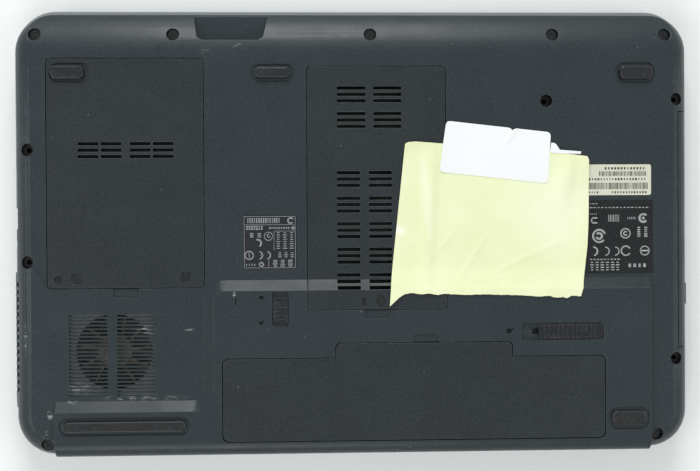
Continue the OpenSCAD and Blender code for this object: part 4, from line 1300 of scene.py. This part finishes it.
# Inks: silver on the dark film, soft white on the black film, soft black on the paper
INK_SILVER = Finish("ink_silver_printed", "8e9393", "7b8080", 3, 0.5, 0.4, 0.002, specular=0.4)
INK_WHITE = Finish("ink_white_printed", "a8acac", "8d9191", 3, 0.6, 0.4, 0.002, specular=0.3)
INK_BLACK = Finish("ink_black_printed", "2a2b28", "3a3b36", 3, 0.6, 0.4, 0.002, specular=0.3)
# Marks that the mould leaves a little sunk, drawn as near-black sheets; on the nick in the platform the sheet
# is painted shade
INK_SUNK = Finish("abs_sunk_dirty_marks", "0a0b0c", "151718", 3, 0.7, 0.4, 0.002, specular=0.1)
# Uncoated coloured paper: dead matte with fibre clouds, with pale patches that are painted highlight on its
# folds and one pale spot at its left edge
NOTE_PAPER = Paper(
    "paper_uncoated_yellow",
    "eaf0c2",
    "f0f5cd",
    26,
    0.9,
    0.5,
    0.02,
    specular=0.12,
    patches=(
        # The first patch is a pale spot at the left edge; the second and third are painted highlight on the
        # fold crests near x 112 to 130 and at x 41
        Scuff(24.0, 1.6, 5.6, 3.4, -24, 1.0),
        Scuff(112, 12, 22, 34, 0, 0.45),
        Scuff(40, 20, 4, 34, 6, 0.4),
    ),
)
# Coated sticker paper: whiter and smoother
STICKER_PAPER = Paper(
    "paper_coated_white", "f1f4f4", "f5f7f7", 20, 0.55, 0.5, 0.006, specular=0.2, pale="f8fafa"
)


# ---------------------------------------------------------------- sub-assemblies


@dataclass
class UndersideShell:
    """The moulded shells: case, covers, battery, deck, bezel and hinge covers.

    Attributes:
        case_round: Edge rounding of the case in mm.
        deck_round: Edge rounding of the deck and the hinge covers in mm.
        cover_round: Edge rounding of covers and battery in mm.
        bezel_round: Edge rounding of the disc tray's bezel in mm.
        empty_wells: Centres of the screw wells whose screw is gone.
        well_r: Radius of the painted shade in a screw well in mm.
        well_top: Height that is above every well's rim, in mm.
        pocket_gap: How far the painted shade in a pocket reaches past its cover, in mm.
        unshaded_rim: Depth of the rim of a pocket that the painted shade leaves out, in mm.
    """

    case_round: float = 0.22
    deck_round: float = 0.25
    cover_round: float = 0.3
    bezel_round: float = 0.2
    empty_wells: tuple[Point, ...] = (
        (-181.7, 47.0),
        (-182.1, -15.4),
        (182.2, 74.6),
        (181.9, -72.2),
        (107.8, 73.6),
    )
    well_r: float = 3.52
    well_top: float = 40
    pocket_gap: float = 0.8
    unshaded_rim: float = 0.4

    def shaded_recesses(self, bench: Bench) -> tuple[ShadedRecess, ...]:
        """Returns the empty screw wells and the two cover pockets, which are painted near black as shade."""
        found = [ShadedRecess(x, y, self.well_r, self.well_r, self.well_top, True) for x, y in self.empty_wells]
        level = bench.box_mm("hard_drive_cover")[1].z - self.unshaded_rim
        for cover in ("hard_drive_cover", "memory_cover"):
            low, high = bench.box_mm(cover)
            middle, half = (low + high) / 2, (high - low) / 2
            size = (half.x + self.pocket_gap, half.y + self.pocket_gap)
            found.append(ShadedRecess(middle.x, middle.y, *size, level))
        return tuple(found)

    def build(self, bench: Bench) -> None:
        """Finishes every shell."""
        bench.finish("bottom_case", replace(CASE_ABS, shaded_recesses=self.shaded_recesses(bench)), self.case_round)
        bench.finish("palm_rest", DECK_ABS, self.deck_round)
        bench.finish("hard_drive_cover", COVER_ABS, self.cover_round)
        bench.finish("memory_cover", COVER_ABS, self.cover_round)
        bench.finish("battery_pack", BATTERY_ABS, self.cover_round)
        bench.finish("tray_bezel", CASE_ABS, self.bezel_round)
        bench.finish("hinge_covers", CASE_ABS, self.deck_round)


@dataclass
class Latches:
    """The two sliders with their thumb ribs, the sunk marks beside them and a nick in the platform drawn as
    painted shade.

    Attributes:
        edge: Edge rounding of a slider in mm.
        nick: The nick's x0, y0, x1 and y1 in mm, where a dark sheet of painted shade lies.
    """

    edge: float = 0.15
    nick: tuple[float, float, float, float] = (-67.1, -39.4, -66.5, -35.2)

    def padlock(self, shape: bmesh.types.BMesh, at: Point, size: float, z: float, is_open: bool) -> None:
        """Adds a plain padlock mark: a body and a shackle."""
        x, y = at
        body = box_outline(x - size, y - size * 0.6, x + size * 0.3, y + size * 0.6)
        flat_prism(shape, body, z, z + INK_MM)
        lean = 0.5 if is_open else 0.0
        shackle = arc_band((x + size * 0.3, y + lean * size), size * 0.55, size * 0.3, -90, 180, 10)
        flat_prism(shape, shackle, z, z + INK_MM)

    def build(self, bench: Bench) -> None:
        """Finishes the sliders and adds their marks."""
        bench.finish("release_latch", SLIDER_ACETAL, self.edge)
        bench.finish("lock_latch", SLIDER_ACETAL, self.edge)
        top = bench.box_mm("bottom_case")[1].z
        shape = bmesh.new()
        self.padlock(shape, (86.2, -55.4), 2.0, top, True)
        self.padlock(shape, (-52.3, -35.5), 1.5, top, False)
        self.padlock(shape, (-52.4, -49.7), 1.5, top, True)
        # The nick is a near-black sheet of painted shade
        flat_prism(shape, box_outline(*self.nick), top, top + INK_MM)
        bench.add(object_from_bmesh("latch_marks", shape), INK_SUNK, "base", "case_plastic")


@dataclass
class CoverMarks:
    """The small plain marks on the two covers: a drive and a memory stick.

    Attributes:
        drive_at: Middle of the drive mark in mm.
        drive_rings: Outer radius, inner radius and parts of each of its rings.
        stick_at: Lower left corner of the memory mark in mm.
        chip: Width and height of one of its chips in mm.
        chips: Chips, which are 1 mm apart.
    """

    drive_at: Point = (-165, -25)
    drive_rings: tuple[tuple[float, float, int], ...] = ((1.9, 1.3, 24), (0.7, 0.2, 12))
    stick_at: Point = (3.4, -39.9)
    chip: Point = (1.8, 0.6)
    chips: int = 4

    def build(self, bench: Bench) -> None:
        """Adds both marks."""
        shape = bmesh.new()
        z = bench.box_mm("hard_drive_cover")[1].z
        for outer, inner, parts in self.drive_rings:
            flat_prism(shape, arc_band(self.drive_at, outer, inner, 0, 359, parts), z, z + INK_MM)
        z = bench.box_mm("memory_cover")[1].z
        x, y = self.stick_at
        for i in range(self.chips):
            chip = box_outline(x, y + i, x + self.chip[0], y + self.chip[1] + i)
            flat_prism(shape, chip, z, z + INK_MM)
        bench.add(object_from_bmesh("cover_marks", shape), INK_SUNK, "base", "cover_plastic")


@dataclass
class Feet:
    """Five rubber feet, one of them torn.

    Attributes:
        crown: Edge rounding of the feet in mm.
        steps: Segments of that rounding.
    """

    crown: float = 0.9
    steps: int = 4

    def build(self, bench: Bench) -> None:
        """Finishes each foot."""
        for place in ("rear_left", "rear_right", "front_left", "front_centre", "front_right"):
            bench.finish(f"{place}_foot", FOOT_RUBBER, self.crown, self.steps)


@dataclass
class Screws:
    """Cross-head screws, each with its head turned as its driver left it.

    Attributes:
        edge: Edge rounding of a head in mm.
    """

    edge: float = 0.12

    def islands(self, obj: bpy.types.Object) -> list[list[int]]:
        """Returns the vertex numbers of each separate shell of an object."""
        shape = bmesh.new()
        shape.from_mesh(obj.data)
        shape.verts.ensure_lookup_table()
        seen: set[int] = set()
        groups = []
        for start in shape.verts:
            if start.index in seen:
                continue
            queue, group = [start], []
            seen.add(start.index)
            while queue:
                here = queue.pop()
                group.append(here.index)
                for edge in here.link_edges:
                    other = edge.other_vert(here)
                    if other.index not in seen:
                        seen.add(other.index)
                        queue.append(other)
            groups.append(group)
        shape.free()
        return groups

    def one_node(self, bench: Bench, node: str, seed: int) -> None:
        """Stands one rounded screw on each screw's place and lets the set stand for the node."""
        source = bench.merged(node, f"{node}_source")
        places = [point.co.copy() for point in source.data.vertices]
        groups = self.islands(source)
        spots = []
        for group in groups:
            low = [min(places[i][k] for i in group) for k in range(3)]
            high = [max(places[i][k] for i in group) for k in range(3)]
            spots.append(((low[0] + high[0]) / 2, (low[1] + high[1]) / 2, high[2]))
        keep = set(groups[0])
        shape = bmesh.new()
        shape.from_mesh(source.data)
        shape.verts.ensure_lookup_table()
        bmesh.ops.delete(shape, geom=[v for v in shape.verts if v.index not in keep], context="VERTS")
        bmesh.ops.translate(shape, verts=shape.verts[:], vec=-Vector(spots[0]))
        single = object_from_bmesh(f"{node}_single", shape)
        shade_by_angle(single)
        round_edges(single, self.edge, 2)
        keep_flats_flat(single)
        points = bpy.data.meshes.new(f"{node}_places")
        points.from_pydata(spots, [], [])
        piece = plain_object(f"{node}_finished", points)
        Repeat.run(
            piece,
            Repeat.scatter_tree(),
            {"Shape": single, "Turn": math.pi, "Seed": seed, "Material": SCREW_STEEL.material()},
        )
        bpy.data.objects.remove(single)
        bpy.data.objects.remove(source)
        bench.hand_over(piece, SCREW_STEEL, node)

    def build(self, bench: Bench) -> None:
        """Makes the three sets of screws."""
        self.one_node(bench, "case_screws", 3)
        self.one_node(bench, "cover_screws", 8)
        self.one_node(bench, "bezel_screws", 5)


@dataclass
class Label:
    """A printed film label with plain bars, bar codes and round marks instead of print.

    Attributes:
        node: The CAD node.
        film: The film's finish.
        ink: The ink's finish.
        radius: Corner radius in mm.
        blocks: Its blocks of bars.
        rings: Round marks as x, y, outer radius, inner radius, start and sweep.
        panels: Filled boxes as x0, y0, x1, y1.
        lift: How far a corner of the film may lift, in mm.
    """

    node: str
    film: Finish
    ink: Finish
    radius: float
    blocks: tuple[PrintBlock, ...]
    rings: tuple[tuple[float, float, float, float, float, float], ...] = ()
    panels: tuple[tuple[float, float, float, float], ...] = ()
    lift: float = 0.06

    def build(self, bench: Bench) -> None:
        """Makes the film and its print."""
        low, high = bench.box_mm(self.node)
        middle = (low.x + high.x) / 2
        outline = rounded_outline(box_outline(low.x, low.y, high.x, high.y), self.radius, 3.0)

        def height(x: float, y: float) -> float:
            """Returns the film's height, a hair above the case where a corner lifts."""
            lift = max(0.0, noise.noise(Vector((x * 0.11, y * 0.11, 3.0)))) * self.lift
            return low.z + lift * min(1.0, 0.02 * abs(x - middle))

        film = sheet_on(f"{self.node}_film", outline, height, high.z - low.z, 8)
        bench.hand_over(film, self.film, self.node)
        top = high.z + self.lift
        shape = bmesh.new()
        for x, y, outer, inner, start, sweep in self.rings:
            flat_prism(shape, arc_band((x, y), outer, inner, start, sweep), top, top + INK_MM)
        for panel in self.panels:
            flat_prism(shape, box_outline(*panel), top, top + INK_MM)
        parts = [object_from_bmesh(f"{self.node}_marks", shape)]
        for i, block in enumerate(self.blocks):
            parts.append(Repeat.print_block(f"{self.node}_bars_{i}", block, top, self.ink))
        joined = bmesh.new()
        for part in parts:
            joined.from_mesh(part.data)
            bpy.data.objects.remove(part)
        piece = object_from_bmesh(f"{self.node}_print", joined)
        bench.add(piece, self.ink, bench.body[self.node], bench.slot[self.node])


@dataclass(frozen=True)
class Fold:
    """A soft hump, crease or dip in a paper.

    Attributes:
        height: Height in mm, below 0 for a dip.
        x: Middle across the laptop in mm.
        y: Middle along the laptop in mm.
        width: Half width in mm.
        length: Half length in mm.
        turn: Turn in degrees.
        lean: How far its middle moves across for each mm along.
    """

    height: float
    x: float
    y: float
    width: float
    length: float
    turn: float = 0.0
    lean: float = 0.0

    def at(self, x: float, y: float) -> float:
        """Returns the height that it adds at a place, in mm."""
        angle = math.radians(self.turn)
        dx, dy = x - (self.x + self.lean * y), y - self.y
        u = (dx * math.cos(angle) + dy * math.sin(angle)) / self.width
        v = (-dx * math.sin(angle) + dy * math.cos(angle)) / self.length
        return self.height * math.exp(-(u * u + v * v))


NOTE_FOLDS = (
    Fold(1.5, 41, 10, 3.6, 60, lean=0.05),
    Fold(-0.5, 33, 8, 3.0, 60),
    Fold(1.6, 20, -38, 9, 9),
    Fold(2.0, 119, 31, 5.0, 15, -10),
    Fold(1.1, 129, 36, 5, 8),
    Fold(1.0, 130, -5, 5, 24),
    Fold(0.5, 92, -16, 26, 1.6, 24),
    Fold(0.45, 66, -14, 1.8, 15, -32),
    Fold(0.35, 50, -6, 12, 1.8, 50),
)
TOP_CURL = Fold(0.8, 30, 50, 16, 12)
STICKER_FOLDS = (Fold(0.5, 88.5, 55, 1.4, 7, -38), Fold(0.25, 52, 60, 8, 6))


@dataclass
class LoosePapers:
    """The torn yellow note that drapes over the ramp, the white sticker on it and its torn scrap.

    Attributes:
        ramp_low: Where the ramp starts, y in mm.
        ramp_high: Where the ramp ends, y in mm.
        gap: Gap between the note and the case in mm.
        sheet: Thickness of each paper in mm.
        drape: Places either side, in mm, over which the note bridges a bend.
    """

    ramp_low: float = -26.0
    ramp_high: float = -31.8
    gap: float = 0.08
    sheet: float = 0.14
    drape: tuple[float, ...] = (-7, -4.7, -2.3, 0, 2.3, 4.7, 7)

    def case_height(self, bench: Bench) -> Height:
        """Returns the height of the case and its labels under the papers."""
        low = bench.box_mm("serial_label")[1].z
        rise = bench.box_mm("bottom_case")[1].z - bench.box_mm("hard_drive_cover")[1].z

        def height(x: float, y: float) -> float:
            """Returns the ramp's profile in mm."""
            share = min(1.0, max(0.0, (self.ramp_low - y) / (self.ramp_low - self.ramp_high)))
            return low + self.gap + rise * share

        return height

    def note_height(self, bench: Bench) -> Height:
        """Returns the height of the note: draped over the ramp, with folds and lifted torn edges."""
        case = self.case_height(bench)

        def height(x: float, y: float) -> float:
            """Returns the note's underside in mm."""
            window = [case(x, y + step) for step in self.drape]
            base = max(case(x, y), sum(window) / len(window) + 0.15)
            folds = sum(fold.at(x, y) for fold in NOTE_FOLDS)
            torn = max(0.0, (-26 - y) / 12) ** 1.3 * (0.7 + 0.9 * noise.noise(Vector((x * 0.07, 2.0, 0))))
            ripple = 0.28 * (noise.noise(Vector((x * 0.045, y * 0.045, 7.0))) + 0.4)
            curl = TOP_CURL.at(x, y) * max(0.0, (y - 42) / 8) ** 2
            return base + max(0.0, folds + torn + ripple + curl)

        return height

    def note_outline(self) -> list[Point]:
        """Returns the note's edge in mm, anticlockwise: straight sides, a torn lower edge and a long tip."""
        lower = [
            (18.5, -40.8), (20.6, -38.6), (23.2, -36.4), (27.2, -34.2), (31, -33.6), (36, -34.4), (41, -34.0),
            (45.5, -34.9), (49, -34.2), (52.9, -34.5), (60, -34.9), (70, -34.7), (80, -35.0), (92.5, -35.4),
            (103, -36.2), (108, -35.8), (111.6, -36.9), (116, -36.6), (118.4, -37.2), (120.6, -36.0),
            (123.2, -35.9), (126, -36.2),
        ]
        right = [(127.6, -31), (129.3, -20), (130.6, -8), (131.2, 4), (131.5, 14), (131.7, 40.6)]
        upper = [
            (130.8, 42.4), (124, 43.2), (117, 44.2), (112, 45.2), (104, 46.2), (80, 48.0), (52, 49.6),
            (45, 50.0), (40, 50.4), (34, 50.9), (29.6, 50.6), (28.0, 49.6),
        ]
        left = [(27.2, 42), (24.6, 18), (22.0, -6), (20.1, -24), (19.2, -33)]
        outline = resampled([*lower, *right, *upper, *left], 1.2)
        torn = []
        for x, y in outline:
            rough = 0.28 * noise.noise(Vector((x * 0.9, y * 0.9, 1.0))) if y < -32 else 0.0
            torn.append((x, y + rough))
        return torn

    def sticker_outline(self) -> list[Point]:
        """Returns the sticker's edge in mm, anticlockwise, with the nick in its far edge."""
        corners = [(47.1, 33.9), (108.4, 27.1), (110.3, 55.9), (51.2, 62.5)]
        outline = rounded_outline(corners, 2.6, 1.2)
        nicked = []
        for x, y in outline:
            if y > 50 and 86 < x < 91:
                y -= max(0.0, 1.0 - abs(x - 88.6) / 1.6) * 1.3
            nicked.append((x, y))
        return nicked

    def build(self, bench: Bench) -> None:
        """Makes the note, the sticker and the scrap."""
        note_height = self.note_height(bench)
        note = sheet_on("yellow_note_sheet", self.note_outline(), note_height, self.sheet, 56, (70, 5))
        bench.hand_over(note, NOTE_PAPER, "yellow_note")

        def sticker_height(x: float, y: float) -> float:
            """Returns the sticker's underside: it lies on the note and on the case, with one crease."""
            over_note = min(1.0, max(0.0, (51.5 - 0.08 * (x - 28) - y) / 3 + 0.5))
            smooth = sum(note_height(x + d, min(y, 46)) for d in (-5, 0, 5)) / 3
            lift = sum(fold.at(x, y) for fold in STICKER_FOLDS)
            return max(smooth, note_height(x, min(y, 50))) + self.sheet * over_note + 0.12 + lift

        sticker = sheet_on("white_sticker_sheet", self.sticker_outline(), sticker_height, self.sheet, 30)
        scrap = [
            (109.6, 44.6), (114, 44.0), (126.9, 43.6), (127.3, 45.0),
            (115.2, 46.0), (113.4, 48.9), (112.2, 49.9), (110.4, 50.0),
        ]

        def scrap_height(x: float, y: float) -> float:
            """Returns the scrap's underside, which stands a little off the note."""
            return note_height(x, min(y, 44)) + 0.3

        torn = sheet_on("white_scrap", resampled(scrap, 1.0), scrap_height, self.sheet, 8, (112, 45.2))
        joined = bmesh.new()
        joined.from_mesh(sticker.data)
        joined.from_mesh(torn.data)
        bpy.data.objects.remove(torn)
        joined.to_mesh(sticker.data)
        joined.free()
        bench.hand_over(sticker, STICKER_PAPER, "white_sticker")


@dataclass
class CoolingFan:
    """The fan under its dust, its housing, the heat pipe and the fins.

    Attributes:
        rotor_round: Edge rounding of the dusty blades in mm.
        housing_round: Edge rounding of the housing and the pipe in mm.
        fin_round: Edge rounding of the fins in mm.
    """

    rotor_round: float = 0.25
    housing_round: float = 0.2
    fin_round: float = 0.1

    def build(self, bench: Bench) -> None:
        """Finishes the fan and what it cools."""
        # Painted light: the dust colours of blades and housing are raised so they read lit through the shaded
        # grille
        bench.finish("fan_rotor", DUSTY_BLADES_PAINTED_LIGHT, self.rotor_round)
        bench.finish("fan_housing", DUSTY_HOUSING_PAINTED_LIGHT, self.housing_round)
        bench.finish("heat_pipe", BARE_COPPER, self.housing_round)
        bench.finish("exhaust_fins", BARE_ALUMINIUM, self.fin_round)


@dataclass
class Keyboard:
    """The rows of keys, the plate they stand on, the touchpad, its buttons and the power button.

    Attributes:
        cap_round: Edge rounding of a key cap in mm.
    """

    cap_round: float = 0.35

    def build(self, bench: Bench) -> None:
        """Finishes the keys and the plate."""
        for node in (
            "function_keys", "number_keys", "upper_keys", "home_keys",
            "lower_keys", "bottom_keys", "space_bar",
        ):
            bench.finish(node, KEY_PBT, self.cap_round)
        bench.finish("keyboard_plate", PLATE_STEEL, 0.0)
        bench.finish("touchpad", TOUCH_ABS, 0.2)
        bench.finish("left_touch_button", BUTTON_ABS, 0.3)
        bench.finish("right_touch_button", BUTTON_ABS, 0.3)
        bench.finish("power_button", BUTTON_ABS, 0.3)


@dataclass
class Lid:
    """The closed lid: cover, bezel, screen, camera, hinge arms and bumpers.

    Attributes:
        cover_round: Edge rounding of the cover in mm.
    """

    cover_round: float = 0.3

    def build(self, bench: Bench) -> None:
        """Finishes the lid's pieces."""
        bench.finish("lid_cover", LID_ABS, self.cover_round)
        bench.finish("screen_bezel", LID_ABS, 0.25)
        bench.finish("display_panel", SCREEN_GLASS, 0.1)
        bench.finish("webcam_module", LENS, 0.1)
        bench.finish("lid_hinge_arms", SHEET_STEEL, 0.15)
        bench.finish("bezel_bumpers", FOOT_RUBBER, 0.2)


@dataclass
class Insides:
    """The boards, drives, sockets and small parts inside the case.

    Attributes:
        edge: Edge rounding in mm.
    """

    edge: float = 0.12

    def build(self, bench: Bench) -> None:
        """Finishes each inner piece."""
        finishes: dict[str, Finish] = {
            "motherboard": BOARD_DARKENED_AS_SHADE,
            "memory_modules": BOARD_DARKENED_AS_SHADE,
            "wireless_card": BOARD_DARKENED_AS_SHADE,
            "processor": BARE_ALUMINIUM,
            "hard_drive": DRIVE_BLACK_PAINTED_SHADE,
            "optical_drive": DRIVE_SHELL_DARKENED_AS_SHADE,
            "disc_tray": FAN_PLASTIC,
            "eject_button": SLIDER_ACETAL,
            "hinge_brackets": SHEET_STEEL,
            "network_socket": SHEET_STEEL,
            "usb_sockets": SHEET_STEEL,
            "audio_jacks": FAN_PLASTIC,
            "power_inlet": FAN_PLASTIC,
            "speakers": FAN_PLASTIC,
            "coin_cell": SHEET_STEEL,
        }
        for node, finish in finishes.items():
            bench.finish(node, finish, self.edge)


CERTIFICATION = Label(
    "certification_label",
    FILM_DARK,
    INK_SILVER,
    1.0,
    (
        PrintBlock((-60.6, 5.6, -42.0, 8.8), 15, 1, 2.9, 0.35, 0.8, 2),
        PrintBlock((-61.2, 2.0, -51.5, 4.2), 7, 2, 0.9, 0.6, 0.95, 3),
        PrintBlock((-48.5, 2.4, -36.6, 3.6), 9, 1, 0.9, 0.6, 0.95, 4),
        PrintBlock((-60.0, -2.2, -51.6, 0.2), 2, 3, 0.55, 0.8, 0.98, 5),
        PrintBlock((-45.0, -8.6, -33.8, 0.6), 3, 8, 0.5, 0.5, 0.95, 6),
        PrintBlock((-44.0, -13.4, -33.8, -10.6), 3, 3, 0.5, 0.6, 0.95, 7),
        PrintBlock((-47.0, -18.6, -34.4, -14.8), 3, 5, 0.45, 0.6, 0.98, 8),
        PrintBlock((-61.6, -18.2, -55.6, -16.8), 4, 1, 1.2, 0.3, 0.5, 9),
    ),
    (
        (-36.2, 7.1, 1.9, 1.1, 30, 290),
        (-34.9, 3.0, 0.95, 0.02, 0, 359),
        (-48.6, -1.6, 2.5, 2.1, 0, 359),
        (-48.4, -1.3, 1.1, 0.6, 60, 270),
        (-54.6, -5.4, 2.4, 1.5, -60, 170),
        (-59.4, -12.2, 2.6, 2.0, 0, 359),
        (-54.0, -12.2, 2.4, 1.7, -80, 160),
        (-49.6, -12.2, 2.4, 1.7, -80, 160),
        (-52.6, -17.3, 1.4, 0.7, 0, 359),
    ),
    (
        (-62.0, 9.3, -33.5, 9.55), (-62.0, 4.7, -33.5, 4.95), (-62.0, -19.3, -33.5, -19.05),
        (-62.2, -19.3, -61.95, 9.55), (-33.75, -19.3, -33.5, 9.55), (-45.6, -9.4, -45.35, 1.4),
        (-45.6, 1.15, -33.5, 1.4), (-59.6, -13.8, -59.2, -10.6),
        (-53.0, -12.4, -51.4, -12.0), (-48.6, -18.9, -48.35, -14.4),
    ),
)

SERIAL = Label(
    "serial_label",
    FILM_BEIGE,
    INK_BLACK,
    1.5,
    (
        PrintBlock((140.5, 34.6, 164.0, 36.4), 13, 1, 1.3, 0.3, 0.7, 11),
        PrintBlock((137.5, 31.0, 164.5, 34.0), 34, 1, 2.6, 0.25, 0.7, 12),
        PrintBlock((131.5, 28.6, 164.5, 30.2), 20, 1, 1.2, 0.3, 0.7, 13),
        PrintBlock((131.5, 23.6, 165.5, 27.6), 44, 1, 3.6, 0.25, 0.7, 14),
        PrintBlock((144.5, 21.2, 165.0, 22.8), 13, 1, 1.1, 0.3, 0.7, 15),
        PrintBlock((131.5, 21.2, 137.5, 22.8), 4, 1, 1.1, 0.3, 0.7, 16),
    ),
)

REGULATORY = Label(
    "regulatory_label",
    FILM_BLACK,
    INK_WHITE,
    1.0,
    (
        PrintBlock((132.0, 13.0, 166.0, 13.8), 16, 1, 0.5, 0.5, 0.9, 21),
        PrintBlock((132.0, 15.2, 137.0, 16.0), 4, 1, 0.5, 0.5, 0.9, 22),
        PrintBlock((142.6, 5.2, 149.2, 9.6), 7, 1, 4.0, 0.3, 0.6, 23),
        PrintBlock((153.4, 6.6, 158.6, 8.2), 5, 1, 1.3, 0.3, 0.6, 24),
        PrintBlock((158.2, -3.2, 166.2, 2.4), 2, 5, 0.7, 0.7, 0.98, 25),
        PrintBlock((132.0, -16.2, 149.6, -15.4), 9, 1, 0.6, 0.5, 0.9, 26),
        PrintBlock((132.0, -22.0, 149.6, -17.2), 6, 4, 0.6, 0.5, 0.9, 27),
        PrintBlock((153.6, -20.4, 164.8, -18.2), 4, 1, 2.0, 0.6, 0.85, 28),
        PrintBlock((132.0, 9.2, 136.6, 10.4), 4, 1, 0.6, 0.4, 0.7, 29),
    ),
    (
        (162.8, 7.4, 2.8, 1.6, 40, 280),
        (162.8, 7.4, 0.8, 0.02, 0, 359),
        (137.6, -2.6, 4.0, 3.0, 20, 300),
        (137.6, -2.6, 2.2, 1.0, 200, 300),
        (152.6, -1.2, 3.0, 2.3, 0, 359),
        (152.6, -1.2, 1.4, 0.6, 40, 280),
        (134.2, -11.2, 2.8, 2.0, -80, 170),
        (141.0, -11.2, 2.6, 2.0, -90, 180),
        (146.6, -11.2, 2.6, 2.0, -90, 180),
        (152.8, -11.0, 3.0, 2.2, 30, 300),
        (163.6, -11.0, 2.8, 2.2, 0, 359),
    ),
    (
        (161.0, -11.4, 166.2, -10.6), (133.0, 4.4, 136.6, 5.2),
        (133.0, 7.2, 136.6, 8.0), (133.0, 4.4, 133.7, 8.0),
    ),
)


# ---------------------------------------------------------------- studio


@dataclass
class Studio:
    """The pale floor, the soft lamps and the camera above the laptop.

    Attributes:
        floor_colour: Colour of the floor.
        camera_at: The camera's place in mm.
        camera_turn: Its yaw, pitch and roll in radians.
        lens: Focal length in mm on a 36 mm wide sensor.
        sky: Strength of the soft light from all round.
        floor_half: Half the floor's side in metres.
        lamps: Name, place in metres, side in metres and power in watts of each lamp.
    """

    floor_colour: str = "f4f7f6"
    camera_at: tuple[float, float, float] = (-28.5, 5.70, 670.0)
    camera_turn: tuple[float, float, float] = (-0.0398, -0.0112, -0.0058)
    lens: float = 58.79
    sky: float = 0.44
    floor_half: float = 3.0
    lamps: tuple[tuple[str, tuple[float, float, float], float, float], ...] = (
        ("front_lamp", (-0.05, 1.2, 0.82), 0.64, 12.0),
        ("left_lamp", (-1.1, -0.3, 1.1), 0.8, 4.6),
        ("right_lamp", (1.1, -0.3, 1.1), 0.8, 2.6),
        ("rear_lamp", (-0.25, -1.2, 1.1), 0.8, 6.5),
    )

    def floor(self) -> None:
        """Lays the floor, which keeps the shadow."""
        shape = bmesh.new()
        bmesh.ops.create_grid(shape, x_segments=2, y_segments=2, size=self.floor_half)
        made = object_from_bmesh("floor", shape)
        board = bpy.data.materials.new("painted_board_matte")
        board.use_nodes = True
        tree = board.node_tree
        tree.nodes.clear()
        shader = add_node(
            tree,
            "ShaderNodeBsdfPrincipled",
            {"Base Color": linear(self.floor_colour), "Roughness": 0.9, "Specular IOR Level": 0.1},
        )
        add_node(tree, "ShaderNodeOutputMaterial", links={"Surface": shader})
        made.data.materials.append(board)

    def world(self) -> None:
        """Lights the room softly, and shows white where a ray leaves it."""
        world = bpy.data.worlds.new("studio")
        bpy.context.scene.world = world
        world.use_nodes = True
        tree = world.node_tree
        tree.nodes.clear()
        path = add_node(tree, "ShaderNodeLightPath")
        clear = path.outputs["Is Camera Ray"]
        for ray in ("Is Glossy Ray", "Is Transmission Ray"):
            both = {0: clear, 1: path.outputs[ray]}
            clear = add_node(tree, "ShaderNodeMath", {"operation": "ADD", "use_clamp": True}, both)
        dim = add_node(tree, "ShaderNodeBackground", {"Color": linear("f4f7f8"), "Strength": self.sky})
        white = add_node(tree, "ShaderNodeBackground", {"Color": (1, 1, 1, 1), "Strength": 1.0})
        mixed = add_node(tree, "ShaderNodeMixShader", links={0: clear, 1: dim, 2: white})
        add_node(tree, "ShaderNodeOutputWorld", links={"Surface": mixed})

    def lamp(self, name: str, at: tuple[float, float, float], size: float, watts: float) -> None:
        """Hangs a square soft lamp that faces the laptop."""
        data = bpy.data.lights.new(name, "AREA")
        data.shape = "SQUARE"
        data.size = size
        data.energy = watts
        made = bpy.data.objects.new(name, data)
        made.location = at
        made.rotation_euler = (-Vector(at)).to_track_quat("-Z", "Y").to_euler()
        bpy.context.scene.collection.objects.link(made)

    def camera(self) -> None:
        """Sets the camera above the laptop, a little to its left."""
        data = bpy.data.cameras.new("camera")
        data.sensor_width = 36.0
        data.lens = self.lens
        data.clip_start, data.clip_end = 0.01, 20.0
        made = bpy.data.objects.new("camera", data)
        yaw, pitch, roll = self.camera_turn
        turn = Matrix.Rotation(yaw, 4, "Y") @ Matrix.Rotation(pitch, 4, "X") @ Matrix.Rotation(roll, 4, "Z")
        made.matrix_world = Matrix.Translation(Vector(self.camera_at) * MM) @ turn
        bpy.context.scene.collection.objects.link(made)
        bpy.context.scene.camera = made

    def build(self) -> None:
        """Sets up the whole studio."""
        self.floor()
        self.world()
        for lamp in self.lamps:
            self.lamp(*lamp)
        self.camera()
        bpy.context.scene.view_settings.view_transform = "Standard"


def main() -> None:
    """Builds the laptop's looks and the studio."""
    logging.basicConfig(level=logging.INFO, format="%(name)s: %(message)s")
    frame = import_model()
    bench = Bench(frame)
    for part in (
        UndersideShell(),
        Latches(),
        CoverMarks(),
        Feet(),
        Screws(),
        CERTIFICATION,
        SERIAL,
        REGULATORY,
        LoosePapers(),
        CoolingFan(),
        Keyboard(),
        Lid(),
        Insides(),
    ):
        part.build(bench)
    Studio().build()


if __name__ == "__main__":
    main()
